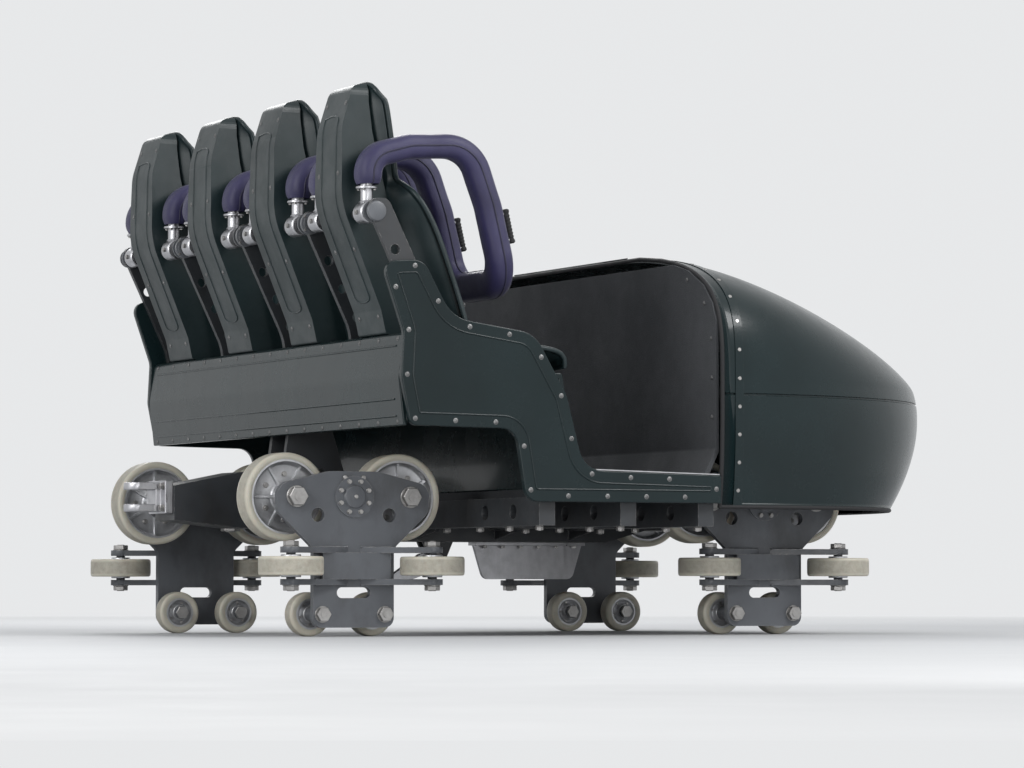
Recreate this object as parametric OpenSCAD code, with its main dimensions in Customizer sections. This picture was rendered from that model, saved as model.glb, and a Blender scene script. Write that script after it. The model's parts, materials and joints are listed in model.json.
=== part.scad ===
// Leading car of a sit-down looping coaster train, with four seats abreast.
// +X is forward, +Y is the car's left and Z is up. The car stands on its up-stop wheels at z = 0,
// and x = 0 is halfway between the nose tip and the tow hitch.

/* [Rails] */
// Distance between the centres of the two rails
rail_gauge = 1200; // [1160:5:1240]
// Outer diameter of a rail
rail_d = 168; // [140:1:180]
// Play between a rail and its guide or up-stop wheels
rail_play = 4; // [2:1:8]

/* [Wheels] */
// Diameter of a road wheel, which rolls on top of the rail
road_wheel_d = 300; // [280:2:310]
// Width of a road wheel's tread
road_wheel_w = 90; // [80:2:96]
// Diameter of a guide wheel, which rolls on the outside of the rail
guide_wheel_d = 220; // [190:2:230]
// Width of a guide wheel's tread
guide_wheel_w = 64; // [50:2:68]
// Diameter of an up-stop wheel, which runs under the rail
stop_wheel_d = 150; // [130:2:160]
// Width of an up-stop wheel's tread
stop_wheel_w = 56; // [44:2:60]
// Thickness of the plastic tread on every wheel
tread_t = 22; // [12:1:28]

/* [Bogies] */
// Distance between the two road wheels of a bogie
road_spacing = 420; // [410:2:440]
// Distance between the two guide wheels of a bogie
guide_spacing = 520; // [500:2:540]
// Distance between the two up-stop wheels of a bogie
stop_spacing = 230; // [200:2:240]
// Thickness of a bogie's cheek plates
cheek_t = 24; // [16:1:28]
// Turn of a knuckle to either side, in degrees
steer_angle = 6; // [0:1:6]
// Radius of the stub axle that a bogie rocks on
stub_r = 34; // [26:1:38]
// Radius of the kingpin that a knuckle steers on
kingpin_r = 22; // [16:1:26]

/* [Chassis] */
// Distance from the front axle to the nose tip
front_overhang = 860; // [800:5:960]
// Distance between the front and the rear axle
wheelbase = 1590; // [1500:5:1700]
// Distance from the tow hitch's end to the rear axle
rear_overhang = 550; // [500:5:620]
// Width of the chassis spine
spine_w = 180; // [140:2:220]
// Radius of an axle tube
axle_r = 50; // [40:1:52]
// Radius of the tow pin's hole
tow_pin_r = 20; // [14:1:24]
// Height of the footwell floor above the rail
floor_rise = 178; // [170:1:190]

/* [Seats] */
// Distance between neighbouring seats
seat_pitch = 580; // [560:2:620]
// Distance from a seat shell's side to the line halfway to the next seat
seat_side_gap = 26; // [22:1:36]
// Height of the seat pan above the footwell floor
seat_rise = 400; // [380:5:430]
// Thickness of a seat shell
shell_t = 14; // [8:1:16]
// Thickness of the seat and back pads
pad_t = 38; // [20:1:45]

/* [Restraints] */
// Distance from a seat's middle to each shoulder pad's middle
shoulder_y = 190; // [186:1:194]
// Width of a shoulder pad
collar_w = 100; // [90:1:104]
// Thickness of a shoulder pad
collar_t = 84; // [60:1:90]
// Radius of the cross shaft that the restraints turn on
shaft_r = 20; // [16:1:24]

/* [Body] */
// Thickness of the body panels
panel_t = 14; // [10:1:18]
// Height of the nose hood's rear edge
hood_top = 1340; // [1280:5:1380]
// Height of the nose tip
nose_z = 870; // [840:5:900]
// Half of the width of the covers behind the seats
cover_half_w = 112; // [100:1:116]

/* [Hidden] */
$fn = 64;
run_fit = 0.06;    // radial clearance of a pin in its bore
seat_gap = 0.3;    // clearance between pieces that rest on each other

// Heights above the floor
rail_z = stop_wheel_d + rail_play + rail_d / 2;
rail_top = rail_z + rail_d / 2;
axle_z = rail_top + road_wheel_d / 2;
floor_z = rail_top + floor_rise;
floor_t = 30;
deck_z = floor_z - floor_t;        // top of the chassis under the floor pan
pan_z = floor_z + seat_rise;       // lowest point of the seat pans
plinth_z = pan_z - shell_t - seat_gap;

// Sideways places, on the left of the car
rail_y = rail_gauge / 2;
guide_y = rail_y + rail_d / 2 + rail_play + guide_wheel_d / 2;
outer_cheek_y = rail_y + rail_d / 2 + 20;
inner_cheek_y = rail_y - road_wheel_w / 2 - 50 - cheek_t;
boss_y = inner_cheek_y - 20;       // inner end of the boss that takes the stub axle
boss_end_y = rail_y - road_wheel_w / 2 - 10;
knuckle_face_y = boss_y - 3;
knuckle_t = 26;
eye_r = 55;
eye_gap = 5;
king_y = knuckle_face_y - knuckle_t - eye_gap - eye_r;

// Lengthways places
tail_x = -(rear_overhang + wheelbase + front_overhang) / 2;
rear_axle_x = tail_x + rear_overhang;
front_axle_x = rear_axle_x + wheelbase;
nose_x = front_axle_x + front_overhang;
hood_x = front_axle_x - 405.7;     // rear rim of the nose hood
front_beam_x = rear_axle_x + 500;  // cross beam under the front of the seats
rear_beam_x = rear_axle_x + 100;   // cross beam that carries the posts
kick_x = front_beam_x + 72;        // kick panel under the seats' front edge
bulkhead_t = 12;

// The body is as wide as four seats
body_half_w = 2 * seat_pitch;
seat_half_w = seat_pitch / 2 - seat_side_gap;
panel_half_w = body_half_w - 24;   // floor, plinth and rear panel, between the side fairings
fairing_t = 22;

// Restraint shaft
shaft_rise = 505;                  // above the seat pans
shaft_x = rear_axle_x - 103;
shaft_z = pan_z + shaft_rise;

SEATS = [for (k = [-1.5 : 1 : 1.5]) k * seat_pitch];
post_t = 20;
outer_post_y = body_half_w - fairing_t - post_t / 2;
POSTS = [-outer_post_y, -seat_pitch, 0, seat_pitch, outer_post_y];

black = [0.055, 0.075, 0.08];
dark_steel = [0.16, 0.17, 0.18];
steel = [0.55, 0.56, 0.58];
tread = [0.78, 0.78, 0.74];
violet = [0.11, 0.10, 0.19];
grey = [0.3, 0.31, 0.33];

// Corner names: f or r for front or rear, l or r for left or right
CORNERS = [["fl", front_axle_x, 0], ["fr", front_axle_x, 1], ["rl", rear_axle_x, 0], ["rr", rear_axle_x, 1]];

// Points of an outline whose corners, each [x, y, radius], are rounded
function rounded(corners, steps = 6) = [
    for (i = [0 : len(corners) - 1])
        let (
            n = len(corners),
            p = corners[i],
            a = corners[(i + n - 1) % n],
            b = corners[(i + 1) % n],
            va = [a[0] - p[0], a[1] - p[1]] / norm([a[0] - p[0], a[1] - p[1]]),
            vb = [b[0] - p[0], b[1] - p[1]] / norm([b[0] - p[0], b[1] - p[1]]),
            half = acos(va * vb) / 2,
            r = p[2],
            bis = (va + vb) / max(norm(va + vb), 1e-6),
            c = [p[0], p[1]] + bis * r / sin(half),
            t0 = [p[0], p[1]] + va * r / tan(half),
            a0 = atan2(t0[1] - c[1], t0[0] - c[0]),
            t1 = [p[0], p[1]] + vb * r / tan(half),
            a1 = atan2(t1[1] - c[1], t1[0] - c[0]),
            turn = (a1 - a0 + 540) % 360 - 180
        )
        each r <= 0
            ? [[p[0], p[1]]]
            : [for (s = [0 : steps]) c + r * [cos(a0 + turn * s / steps), sin(a0 + turn * s / steps)]]
];

// A plate with an outline in X and Z, from y0 to y0 + t
module side_plate(y0, t) {
    translate([0, y0 + t, 0]) rotate([90, 0, 0]) linear_extrude(t) children();
}

// A pin along Y
module y_pin(x, z, y0, y1, r) {
    translate([x, y1, z]) rotate([90, 0, 0]) cylinder(r = r, h = y1 - y0);
}

// A solid sheet between two grids of points, each a list of rows
module thick_sheet(outer, inner) {
    n = len(outer);
    m = len(outer[0]);
    k = n * m;
    polyhedron(
        points = concat([for (row = outer) each row], [for (row = inner) each row]),
        faces = concat(
            [for (i = [0 : n - 2], j = [0 : m - 2]) each [
                [i * m + j, i * m + j + 1, (i + 1) * m + j + 1],
                [i * m + j, (i + 1) * m + j + 1, (i + 1) * m + j],
                [k + i * m + j, k + (i + 1) * m + j + 1, k + i * m + j + 1],
                [k + i * m + j, k + (i + 1) * m + j, k + (i + 1) * m + j + 1]
            ]],
            [for (i = [0 : n - 2]) each [
                [i * m, (i + 1) * m, k + (i + 1) * m],
                [i * m, k + (i + 1) * m, k + i * m],
                [i * m + m - 1, k + (i + 1) * m + m - 1, (i + 1) * m + m - 1],
                [i * m + m - 1, k + i * m + m - 1, k + (i + 1) * m + m - 1]
            ]],
            [for (j = [0 : m - 2]) each [
                [j, k + j + 1, j + 1],
                [j, k + j, k + j + 1],
                [(n - 1) * m + j, (n - 1) * m + j + 1, k + (n - 1) * m + j + 1],
                [(n - 1) * m + j, k + (n - 1) * m + j + 1, k + (n - 1) * m + j]
            ]]
        ),
        convexity = 8
    );
}

// A tube swept through rings of points
module swept(rings) {
    n = len(rings);
    m = len(rings[0]);
    polyhedron(
        points = [for (r = rings) each r],
        faces = concat(
            [for (i = [0 : n - 2], j = [0 : m - 1]) each [
                [i * m + j, i * m + (j + 1) % m, (i + 1) * m + (j + 1) % m],
                [i * m + j, (i + 1) * m + (j + 1) % m, (i + 1) * m + j]
            ]],
            [[for (j = [m - 1 : -1 : 0]) j]],
            [[for (j = [0 : m - 1]) (n - 1) * m + j]]
        ),
        convexity = 8
    );
}

// Wheels, each about its own axis along Z
module wheel(d, w, hub_w, hub_r, bore_r) {
    r = d / 2;
    rim_r = r - tread_t;
    rotate_extrude()
        polygon([
            [bore_r + run_fit, -hub_w / 2], [hub_r, -hub_w / 2], [hub_r + 3, -w * 0.2], [rim_r - 12, -w * 0.2],
            [rim_r - 8, -w * 0.44], [rim_r, -w * 0.44], [rim_r, -w / 2], [r - 5, -w / 2], [r, -w / 2 + 5],
            [r, w / 2 - 5], [r - 5, w / 2], [rim_r, w / 2], [rim_r, w * 0.44], [rim_r - 8, w * 0.44],
            [rim_r - 12, w * 0.2], [hub_r + 3, w * 0.2], [hub_r, hub_w / 2], [bore_r + run_fit, hub_w / 2]
        ]);
}

road_pin_r = 20;
guide_pin_r = 16;
stop_pin_r = 16;
road_hub_w = road_wheel_w + 10;
guide_hub_w = guide_wheel_w + 12;
stop_hub_w = stop_wheel_w + 8;
road_hub_r = 44;

// Ribs from a road wheel's hub to its rim, on both faces of the web
module wheel_ribs(count) {
    reach = road_wheel_d / 2 - tread_t - 9;
    half_w = road_wheel_w * 0.2 + 11;
    rib_t = 10;
    for (k = [0 : count - 1])
        rotate([0, 0, 360 * (k + 0.5) / count])
            translate([road_hub_r - 4, -rib_t / 2, -half_w])
                cube([reach - road_hub_r + 4, rib_t, 2 * half_w]);
}

module road_wheel(s) {
    color(tread)
        translate([s * road_spacing / 2, rail_y, axle_z])
            rotate([90, 0, 0]) {
                wheel(road_wheel_d, road_wheel_w, road_hub_w, road_hub_r, road_pin_r);
                wheel_ribs(6);
            }
}

module guide_wheel(s) {
    color(tread)
        translate([s * guide_spacing / 2, guide_y, rail_z])
            wheel(guide_wheel_d, guide_wheel_w, guide_hub_w, 34, guide_pin_r);
}

module stop_wheel(s) {
    color(tread)
        translate([s * stop_spacing / 2, rail_y, stop_wheel_d / 2])
            rotate([90, 0, 0])
                wheel(stop_wheel_d, stop_wheel_w, stop_hub_w, 28, stop_pin_r);
}

// The left bogie about its own axle's x. It grips the rail from above, outside and below.
guide_arm_t = 20;
guide_arm_gap = guide_hub_w / 2 + 6;
hub_cover_r = 70;                  // cover over the stub axle's end
hub_cover_t = 9;
cross_plate_t = 18;                // plate that ties the cheeks together between the road wheels
cross_plate_w = road_spacing - road_wheel_d - 16;
cheek_hole_r = 24;

module outer_cheek_outline() {
    low = stop_spacing / 2 + 34;
    polygon(rounded([
        [-low, 30, 34], [low, 30, 34], [low, rail_z + 60, 40], [road_spacing / 2 + 70, axle_z - 50, 40],
        [road_spacing / 2 + 70, axle_z + 40, 50], [90, axle_z + 86, 60], [-90, axle_z + 86, 60],
        [-road_spacing / 2 - 70, axle_z + 40, 50], [-road_spacing / 2 - 70, axle_z - 50, 40],
        [-low, rail_z + 60, 40]
    ]));
}

// Openings in the outer cheek: a hole beside each road wheel's pin and a slot over the up-stop wheels
module outer_cheek_holes() {
    slot_r = 18;
    slot_x = 44;
    for (s = [-1, 1]) {
        translate([s * (road_spacing / 2 - 78), axle_z - 62]) circle(r = cheek_hole_r);
        translate([s * slot_x, stop_wheel_d - 2]) circle(r = slot_r);
    }
    translate([-slot_x, stop_wheel_d - 2 - slot_r]) square([2 * slot_x, 2 * slot_r]);
}

module inner_cheek_holes() {
    for (s = [-1, 1])
        translate([s * (road_spacing / 2 - 90), axle_z - 4]) circle(r = cheek_hole_r);
}

module inner_cheek_outline() {
    polygon(rounded([
        [-road_spacing / 2 - 60, axle_z - 58, 50], [road_spacing / 2 + 60, axle_z - 58, 50],
        [road_spacing / 2 + 60, axle_z + 46, 50], [90, axle_z + 84, 60], [-90, axle_z + 84, 60],
        [-road_spacing / 2 - 60, axle_z + 46, 50]
    ]));
}

module guide_arm(s) {
    root = stop_spacing / 2 + 30;
    x = guide_spacing / 2;
    y = outer_cheek_y + cheek_t - 1;
    mirror([s < 0 ? 1 : 0, 0, 0])
        linear_extrude(guide_arm_t) {
            translate([x, guide_y]) circle(r = 36);
            polygon([[20, y], [root, y], [x + 20, guide_y - 30], [x - 18, guide_y + 31]]);
        }
}

module bogie() {
    color(grey) {
        difference() {
            union() {
                side_plate(outer_cheek_y, cheek_t)
                    difference() {
                        outer_cheek_outline();
                        outer_cheek_holes();
                    }
                side_plate(inner_cheek_y, cheek_t)
                    difference() {
                        inner_cheek_outline();
                        inner_cheek_holes();
                    }
                translate([-cross_plate_w / 2, inner_cheek_y + 1, axle_z + 56])
                    cube([cross_plate_w, outer_cheek_y - inner_cheek_y, cross_plate_t]);
                y_pin(0, axle_z, outer_cheek_y + cheek_t - 1, outer_cheek_y + cheek_t + hub_cover_t, hub_cover_r);
                y_pin(0, axle_z, boss_y, boss_end_y, 58);
                y_pin(0, axle_z, boss_end_y - 1, outer_cheek_y + 1, 44);
                for (s = [-1, 1]) {
                    y_pin(s * road_spacing / 2, axle_z, inner_cheek_y - 8, outer_cheek_y + cheek_t + 8, road_pin_r);
                    y_pin(s * road_spacing / 2, axle_z, inner_cheek_y + 1, rail_y - road_hub_w / 2 - 5, 32);
                    y_pin(s * road_spacing / 2, axle_z, rail_y + road_hub_w / 2 + 5, outer_cheek_y + 1, 32);
                    y_pin(s * stop_spacing / 2, stop_wheel_d / 2, rail_y - stop_hub_w / 2 - 12,
                        outer_cheek_y + cheek_t + 8, stop_pin_r);
                    y_pin(s * stop_spacing / 2, stop_wheel_d / 2, rail_y - stop_hub_w / 2 - 14,
                        rail_y - stop_hub_w / 2 - 5, 24);
                    y_pin(s * stop_spacing / 2, stop_wheel_d / 2, rail_y + stop_hub_w / 2 + 5,
                        outer_cheek_y + 1, 26);
                    for (z = [rail_z - guide_arm_gap - guide_arm_t, rail_z + guide_arm_gap])
                        translate([0, 0, z]) guide_arm(s);
                    translate([s * guide_spacing / 2, guide_y, rail_z - guide_arm_gap - guide_arm_t - 8])
                        cylinder(r = guide_pin_r, h = 2 * (guide_arm_gap + guide_arm_t + 8));
                }
                // Rib between the upper and lower guide arms
                translate([-stop_spacing / 2 - 10, outer_cheek_y + cheek_t - 1, rail_z - guide_arm_gap - 1])
                    cube([stop_spacing + 20, 28, 2 * guide_arm_gap + 2]);
            }
            y_pin(0, axle_z, boss_y - 1, boss_end_y - 8, stub_r + run_fit);
        }
    }
}

// Knuckle between an axle's end and a bogie: it steers on its kingpin and carries the stub axle
ear_z = eye_r;
ear_t = 24;

module knuckle() {
    color(dark_steel) {
        for (z = [axle_z - ear_z - ear_t, axle_z + ear_z])
            translate([0, 0, z])
                linear_extrude(ear_t) {
                    translate([0, king_y]) circle(r = 46);
                    translate([-46, king_y]) square([92, knuckle_face_y - king_y - 1]);
                }
        translate([-52, knuckle_face_y - knuckle_t, axle_z - ear_z - ear_t])
            cube([104, knuckle_t, 2 * (ear_z + ear_t)]);
        y_pin(0, axle_z, knuckle_face_y - 1, boss_end_y - 12, stub_r);
        translate([0, king_y, axle_z - ear_z - ear_t - 6])
            cylinder(r = kingpin_r, h = 2 * (ear_z + ear_t + 6));
    }
}

// Both axles: a tube with an eye for the kingpin at each end
module axles() {
    color(dark_steel)
        for (x = [rear_axle_x, front_axle_x])
            translate([x, 0, 0])
                difference() {
                    union() {
                        y_pin(0, axle_z, -king_y, king_y, axle_r);
                        for (s = [-1, 1]) {
                            translate([0, s * king_y, axle_z - ear_z + 5]) cylinder(r = eye_r, h = 2 * ear_z - 10);
                            y_pin(0, axle_z, s * (spine_w / 2 + 13) - 12, s * (spine_w / 2 + 13) + 12, axle_r + 14);
                        }
                    }
                    for (s = [-1, 1])
                        translate([0, s * king_y, axle_z - 2 * ear_z])
                            cylinder(r = kingpin_r + run_fit, h = 4 * ear_z);
                }
}

// Chassis: a kinked box spine with outriggers under the floor
spine_low = axle_z - 142;
spine_high = axle_z - 98;

module spine_outline() {
    f = front_axle_x;
    r = rear_axle_x;
    polygon(rounded([
        [tail_x + 150, axle_z - 72, 0], [r - 150, spine_high, 40], [r + 230, spine_high, 60], [r + 410, spine_low, 60],
        [f - 300, spine_low, 60], [f - 140, spine_high, 60], [f + 260, spine_high, 40],
        [f + 390, axle_z - 52, 0], [f + 390, axle_z + 28, 0], [f + 260, axle_z + 98, 40],
        [f - 180, axle_z + 98, 50], [f - 330, deck_z - seat_gap, 50],
        [r + 400, deck_z - seat_gap, 50], [r + 250, axle_z + 98, 50], [r - 150, axle_z + 98, 40],
        [tail_x + 150, axle_z + 48, 0]
    ]));
}

outrigger_w = 60;
outrigger_h = 96;
outrigger_half_l = body_half_w - 40;
OUTRIGGERS = [front_beam_x + 35, (front_beam_x + hood_x) / 2, hood_x - 44];

gusset_t = 14;

// Gussets on both sides of the spine, under an outrigger, in Y and Z
module gusset_outline() {
    root = spine_w / 2 - 1;
    top = deck_z - seat_gap - outrigger_h + 1;
    for (s = [-1, 1])
        polygon([[s * root, top], [s * (root + 170), top], [s * (root + 150), top - 12], [s * root, spine_low + 8]]);
}

module chassis() {
    color(dark_steel)
        difference() {
            union() {
                side_plate(-spine_w / 2, spine_w) spine_outline();
                for (x = OUTRIGGERS)
                    translate([x - outrigger_w / 2, -outrigger_half_l, deck_z - seat_gap - outrigger_h])
                        cube([outrigger_w, 2 * outrigger_half_l, outrigger_h]);
                for (s = [-1, 1])
                    translate([OUTRIGGERS[0] - outrigger_w / 2, s * 480 - 25, deck_z - seat_gap - outrigger_h])
                        cube([OUTRIGGERS[2] - OUTRIGGERS[0] + outrigger_w, 50, outrigger_h]);
                for (x = OUTRIGGERS)
                    translate([x - gusset_t / 2, 0, 0])
                        rotate([90, 0, 90]) linear_extrude(gusset_t) gusset_outline();
            }
            for (x = [rear_axle_x, front_axle_x])
                y_pin(x, axle_z, -spine_w, spine_w, axle_r + 0.2);
            for (x = OUTRIGGERS, s = [-1, 1], y = [210, 700, 920])
                translate([x - outrigger_w, s * y, deck_z - outrigger_h / 2])
                    rotate([0, 90, 0]) cylinder(r = 26, h = 2 * outrigger_w);
        }
}

// Nose hood: stacked superellipses that open to the rear
hood_low = axle_z - 32;
hood_reach = nose_x - hood_x;
hood_half_w = body_half_w - 2;

// Rows of the hood: share of the height from the tip down to the lower edge, or up to the top if positive
HOOD_ROWS = [-1, -0.93, -0.72, -0.5, -0.28, -0.12, 0, 0.12, 0.26, 0.42, 0.58, 0.72, 0.84, 0.93, 0.98];
hood_steps = 28;
top_power = 1.35;
side_power = 3.6;

function hood_height(h, t) = h > 0 ? nose_z + (hood_top - nose_z - t) * h : nose_z + (nose_z - hood_low) * h;
function hood_width(h, t) =
    (hood_half_w - t) * (h > 0 ? pow(1 - pow(h, side_power), 1 / side_power) : 1 - 0.02 * pow(-h, 3));
function hood_length(h, t) =
    (hood_reach - t) * (h > 0 ? pow(1 - pow(h, top_power), 1 / top_power) : 1 - 0.2 * pow(-h, 1.6));

function hood_row(h, t) = let (
        a = hood_length(h, t),
        b = hood_width(h, t),
        e = h > 0 ? 2.1 : 2.1 - 0.9 * h
    )
    [for (j = [0 : hood_steps]) let (q = 180 * j / hood_steps - 90)
        [hood_x + a * pow(cos(q), 2 / e), b * sign(q) * pow(abs(sin(q)), 2 / e), hood_height(h, t)]];

function hood_grid(t) = concat(
    [for (h = HOOD_ROWS) hood_row(h, t)],
    [[for (j = [0 : hood_steps])
        [hood_x, (0.4 * hood_half_w - t) * sin(180 * j / hood_steps - 90), hood_top - t]]]
);

module nose_hood() {
    color(black) thick_sheet(hood_grid(0), hood_grid(panel_t));
}

// Outline of the hood's rear rim in Y and Z
module hood_section(inset) {
    side = [for (h = HOOD_ROWS) [hood_width(h, inset), hood_height(h, inset)]];
    polygon(concat(side, [for (i = [len(side) - 1 : -1 : 0]) [-side[i][0], side[i][1]]]));
}

// Floor of the footwell, its toe board and the bulkhead that closes the hood
module floor_pan() {
    top = hood_top - 50;
    x1 = hood_x - seat_gap;
    color(grey)
        intersection() {
            side_plate(-panel_half_w, 2 * panel_half_w)
                polygon(rounded([
                    [kick_x - 2, deck_z, 0], [x1 - 78, deck_z, 20], [x1, floor_z + 130, 20], [x1, top, 0],
                    [x1 - bulkhead_t, top, 0], [x1 - bulkhead_t, floor_z + 140, 20], [x1 - 88, floor_z, 30],
                    [kick_x - 2, floor_z, 0]
                ]));
            translate([kick_x - 10, 0, 0]) rotate([90, 0, 90]) linear_extrude(x1 - kick_x + 20) hood_section(2);
        }
}

// Seat frame: two cross beams, their feet, and the posts that carry the restraint shaft
beam_w = 80;
beam_h = 70;
plinth_t = panel_t + 2;
beam_top = plinth_z - plinth_t - seat_gap;
beam_low = beam_top - beam_h;
beam_half_l = body_half_w - 44;
spine_top = axle_z + 98;
inner_rail_y = 70;
outer_rail_y = body_half_w - 70;

module post_outline() {
    x = rear_beam_x;
    knee_z = beam_top + 170;
    head = 44;
    head_r = 32;
    hole_r = 17;
    difference() {
        polygon(rounded([
            [x - 50, beam_top - 20, 0], [x + 50, beam_top - 20, 0], [x + head, knee_z, 160],
            [shaft_x + head, shaft_z + head, head_r], [shaft_x - head, shaft_z + head, head_r],
            [x - 50, knee_z, 160]
        ]));
        for (share = [0.14, 0.4, 0.66])
            translate([x, knee_z] + share * [shaft_x - x, shaft_z - knee_z]) circle(r = hole_r);
    }
}

// Foot of the rear beam on the spine
module spine_foot_outline() {
    x = rear_beam_x;
    polygon([
        [x - 85, spine_top + seat_gap], [x + 150, spine_top + seat_gap], [x + 60, beam_top - 10],
        [x - 45, beam_top - 10]
    ]);
}

// Leg from the front beam down to the first outrigger
module side_leg_outline() {
    foot = OUTRIGGERS[0];
    polygon([
        [foot - 25, deck_z], [foot + 25, deck_z], [front_beam_x + beam_w / 2, beam_low + 10],
        [front_beam_x - beam_w / 2 + 10, beam_low + 10]
    ]);
}

module seat_frame() {
    color(dark_steel) {
        for (x = [rear_beam_x, front_beam_x])
            translate([x - beam_w / 2, -beam_half_l, beam_low])
                cube([beam_w, 2 * beam_half_l, beam_h]);
        for (s = [-1, 1]) {
            for (y = [inner_rail_y, outer_rail_y])
                translate([rear_beam_x, s * y - 20, beam_low])
                    cube([front_beam_x - rear_beam_x, 40, beam_h]);
            side_plate(s * inner_rail_y - 10, 20) spine_foot_outline();
            side_plate(s * (outrigger_half_l - 60) - 20, 40) side_leg_outline();
        }
        for (y = POSTS)
            side_plate(y - post_t / 2, post_t) post_outline();
        y_pin(shaft_x, shaft_z, POSTS[0] - 9, POSTS[4] + 9, shaft_r);
    }
}

// Plinth under the seats, with the kick panel behind the riders' legs
module seat_plinth() {
    t = plinth_t;
    rear = rear_beam_x + 52;
    knee_z = floor_z + 270;
    color(black)
        side_plate(-panel_half_w, 2 * panel_half_w)
            polygon(rounded([
                [kick_x, floor_z + seat_gap, 0], [kick_x + t, floor_z + seat_gap, 0], [kick_x + 32, knee_z, 60],
                [kick_x + 12, plinth_z, 12], [rear, plinth_z, 0], [rear, plinth_z - t, 0],
                [kick_x - 4, plinth_z - t, 10], [kick_x + 16, knee_z, 50]
            ]));
}

// Seat shell: rows along the middle of its front face, from the lip to the top of the headrest,
// [distance ahead of the rear axle, height above the pan, share of the half width, height of the bolsters]
SHELL_TABLE = [
    [600, 8, 0.93, 10], [578, 36, 0.96, 24], [510, 32, 1.00, 44], [410, 16, 1.00, 62],
    [300, 0, 1.00, 74], [220, 2, 1.00, 86], [168, 30, 1.00, 98], [142, 88, 1.00, 104],
    [116, 192, 0.99, 100], [87, 306, 0.97, 92], [58, 422, 0.95, 80], [36, 508, 0.92, 62],
    [22, 562, 0.84, 46], [13, 596, 0.66, 38], [6, 624, 0.48, 36], [-10, 690, 0.463, 44],
    [-30, 790, 0.463, 50], [-40, 888, 0.45, 44], [-38, 950, 0.38, 24]
];
SHELL_ROWS = [for (r = SHELL_TABLE) [rear_axle_x + r[0], pan_z + r[1], r[2], r[3]]];
last_row = len(SHELL_ROWS) - 1;
shell_steps = 12;

function unit2(v) = v / norm(v);
function row_normal(rows, i) = let (
        a = rows[max(i - 1, 0)],
        b = rows[min(i + 1, len(rows) - 1)],
        d = unit2([b[0] - a[0], b[1] - a[1]])
    ) [-d[1], d[0]];
function bolster(u) = pow(max(0, (abs(u) - 0.56) / 0.44), 1.5);

// One grid of points over rows of a table like SHELL_ROWS; lift is the distance along the normal
function seat_grid(rows, first, last, span, lift, crown = 0) = [
    for (i = [first : last]) let (
            r = rows[i],
            n = row_normal(rows, i),
            w = r[2] * seat_half_w
        )
        [for (j = [0 : shell_steps]) let (
                u = (2 * j / shell_steps - 1) * span,
                c = crown * (1 - pow(abs(u) / span, 3)) * (i == first || i == last ? 0.3 : 1),
                h = r[3] * bolster(u) - lift + c
            )
            [r[0] - n[0] * h, w * u, r[1] - n[1] * h]]
];

module seat_shell() {
    thick_sheet(seat_grid(SHELL_ROWS, 0, last_row, 1, shell_t), seat_grid(SHELL_ROWS, 0, last_row, 1, 0));
}

module seat_shells() {
    color(black)
        for (y = SEATS) translate([0, y, 0]) seat_shell();
}

module pad(first, last, t) {
    span = 0.5;
    crown = 6;
    thick_sheet(
        seat_grid(SHELL_ROWS, first, last, span, -seat_gap),
        seat_grid(SHELL_ROWS, first, last, span, -t, crown)
    );
}

module seat_pads() {
    color(violet)
        for (y = SEATS) translate([0, y, 0]) {
            pad(2, 5, pad_t);
            pad(7, 12, pad_t);
        }
}

module headrest_pads() {
    color(violet)
        for (y = SEATS) translate([0, y, 0]) pad(14, 17, pad_t - 8);
}

// Covers behind the seats, between the restraint arms, standing on the rear panel's flange
cover_low = pan_z + 110;
cover_top = pan_z + 962;
belly_z = cover_low - 150;         // fullest height of the rear panel
panel_low = axle_z + 228;          // lower edge of the rear panel, over the rear wheels
back_line = [for (i = [last_row : -1 : 8]) let (r = SHELL_ROWS[i], n = row_normal(SHELL_ROWS, i))
    [r[0] + n[0] * (shell_t + seat_gap), r[1] + n[1] * (shell_t + seat_gap), 0]];

module cover_side_outline() {
    r = rear_axle_x;
    polygon(rounded(concat(
        [
            [r + 4, cover_low + seat_gap, 10], [r - 14, cover_low + 80, 60], [shaft_x - 57, shaft_z + 40, 300],
            [shaft_x - 52, shaft_z + 290, 190], [r - 112, cover_top - 22, 40]
        ],
        back_line,
        [[r + 120, cover_low + seat_gap, 0]]
    ), 10));
}

// Seen from behind, a cover narrows to a round top
module cover_back_outline() {
    w = cover_half_w;
    side = [[w, cover_low - 10, 0], [w, cover_top - 322, 300], [w - 20, cover_top, 58]];
    polygon(rounded(concat(side, [for (i = [2 : -1 : 0]) [-side[i][0], side[i][1], side[i][2]]]), 10));
}

module back_cover() {
    difference() {
        intersection() {
            side_plate(-cover_half_w, 2 * cover_half_w) cover_side_outline();
            translate([shaft_x - 200, 0, 0]) rotate([90, 0, 90]) linear_extrude(500) cover_back_outline();
        }
        y_pin(shaft_x, shaft_z, -cover_half_w - 1, cover_half_w + 1, shaft_r + 0.3);
    }
}

module back_covers() {
    color(black)
        for (y = SEATS) translate([0, y, 0]) back_cover();
}

// Panel across the back under the covers, with slots for the posts in its flange
module rear_fairing() {
    t = panel_t;
    r = rear_axle_x;
    color(black)
        difference() {
            side_plate(-panel_half_w, 2 * panel_half_w)
                polygon(rounded([
                    [r + 12, panel_low, 0], [r + 12 - t, panel_low, 0], [r - 20, belly_z, 90], [r, cover_low, 24],
                    [r + 118, cover_low, 0], [r + 118, cover_low - t, 0], [r + t, cover_low - t, 12],
                    [r - 6, belly_z, 76]
                ]));
            for (y = POSTS)
                translate([rear_beam_x - 70, y - post_t / 2 - 2, cover_low - 2 * t])
                    cube([100, post_t + 4, 3 * t]);
        }
}

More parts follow.
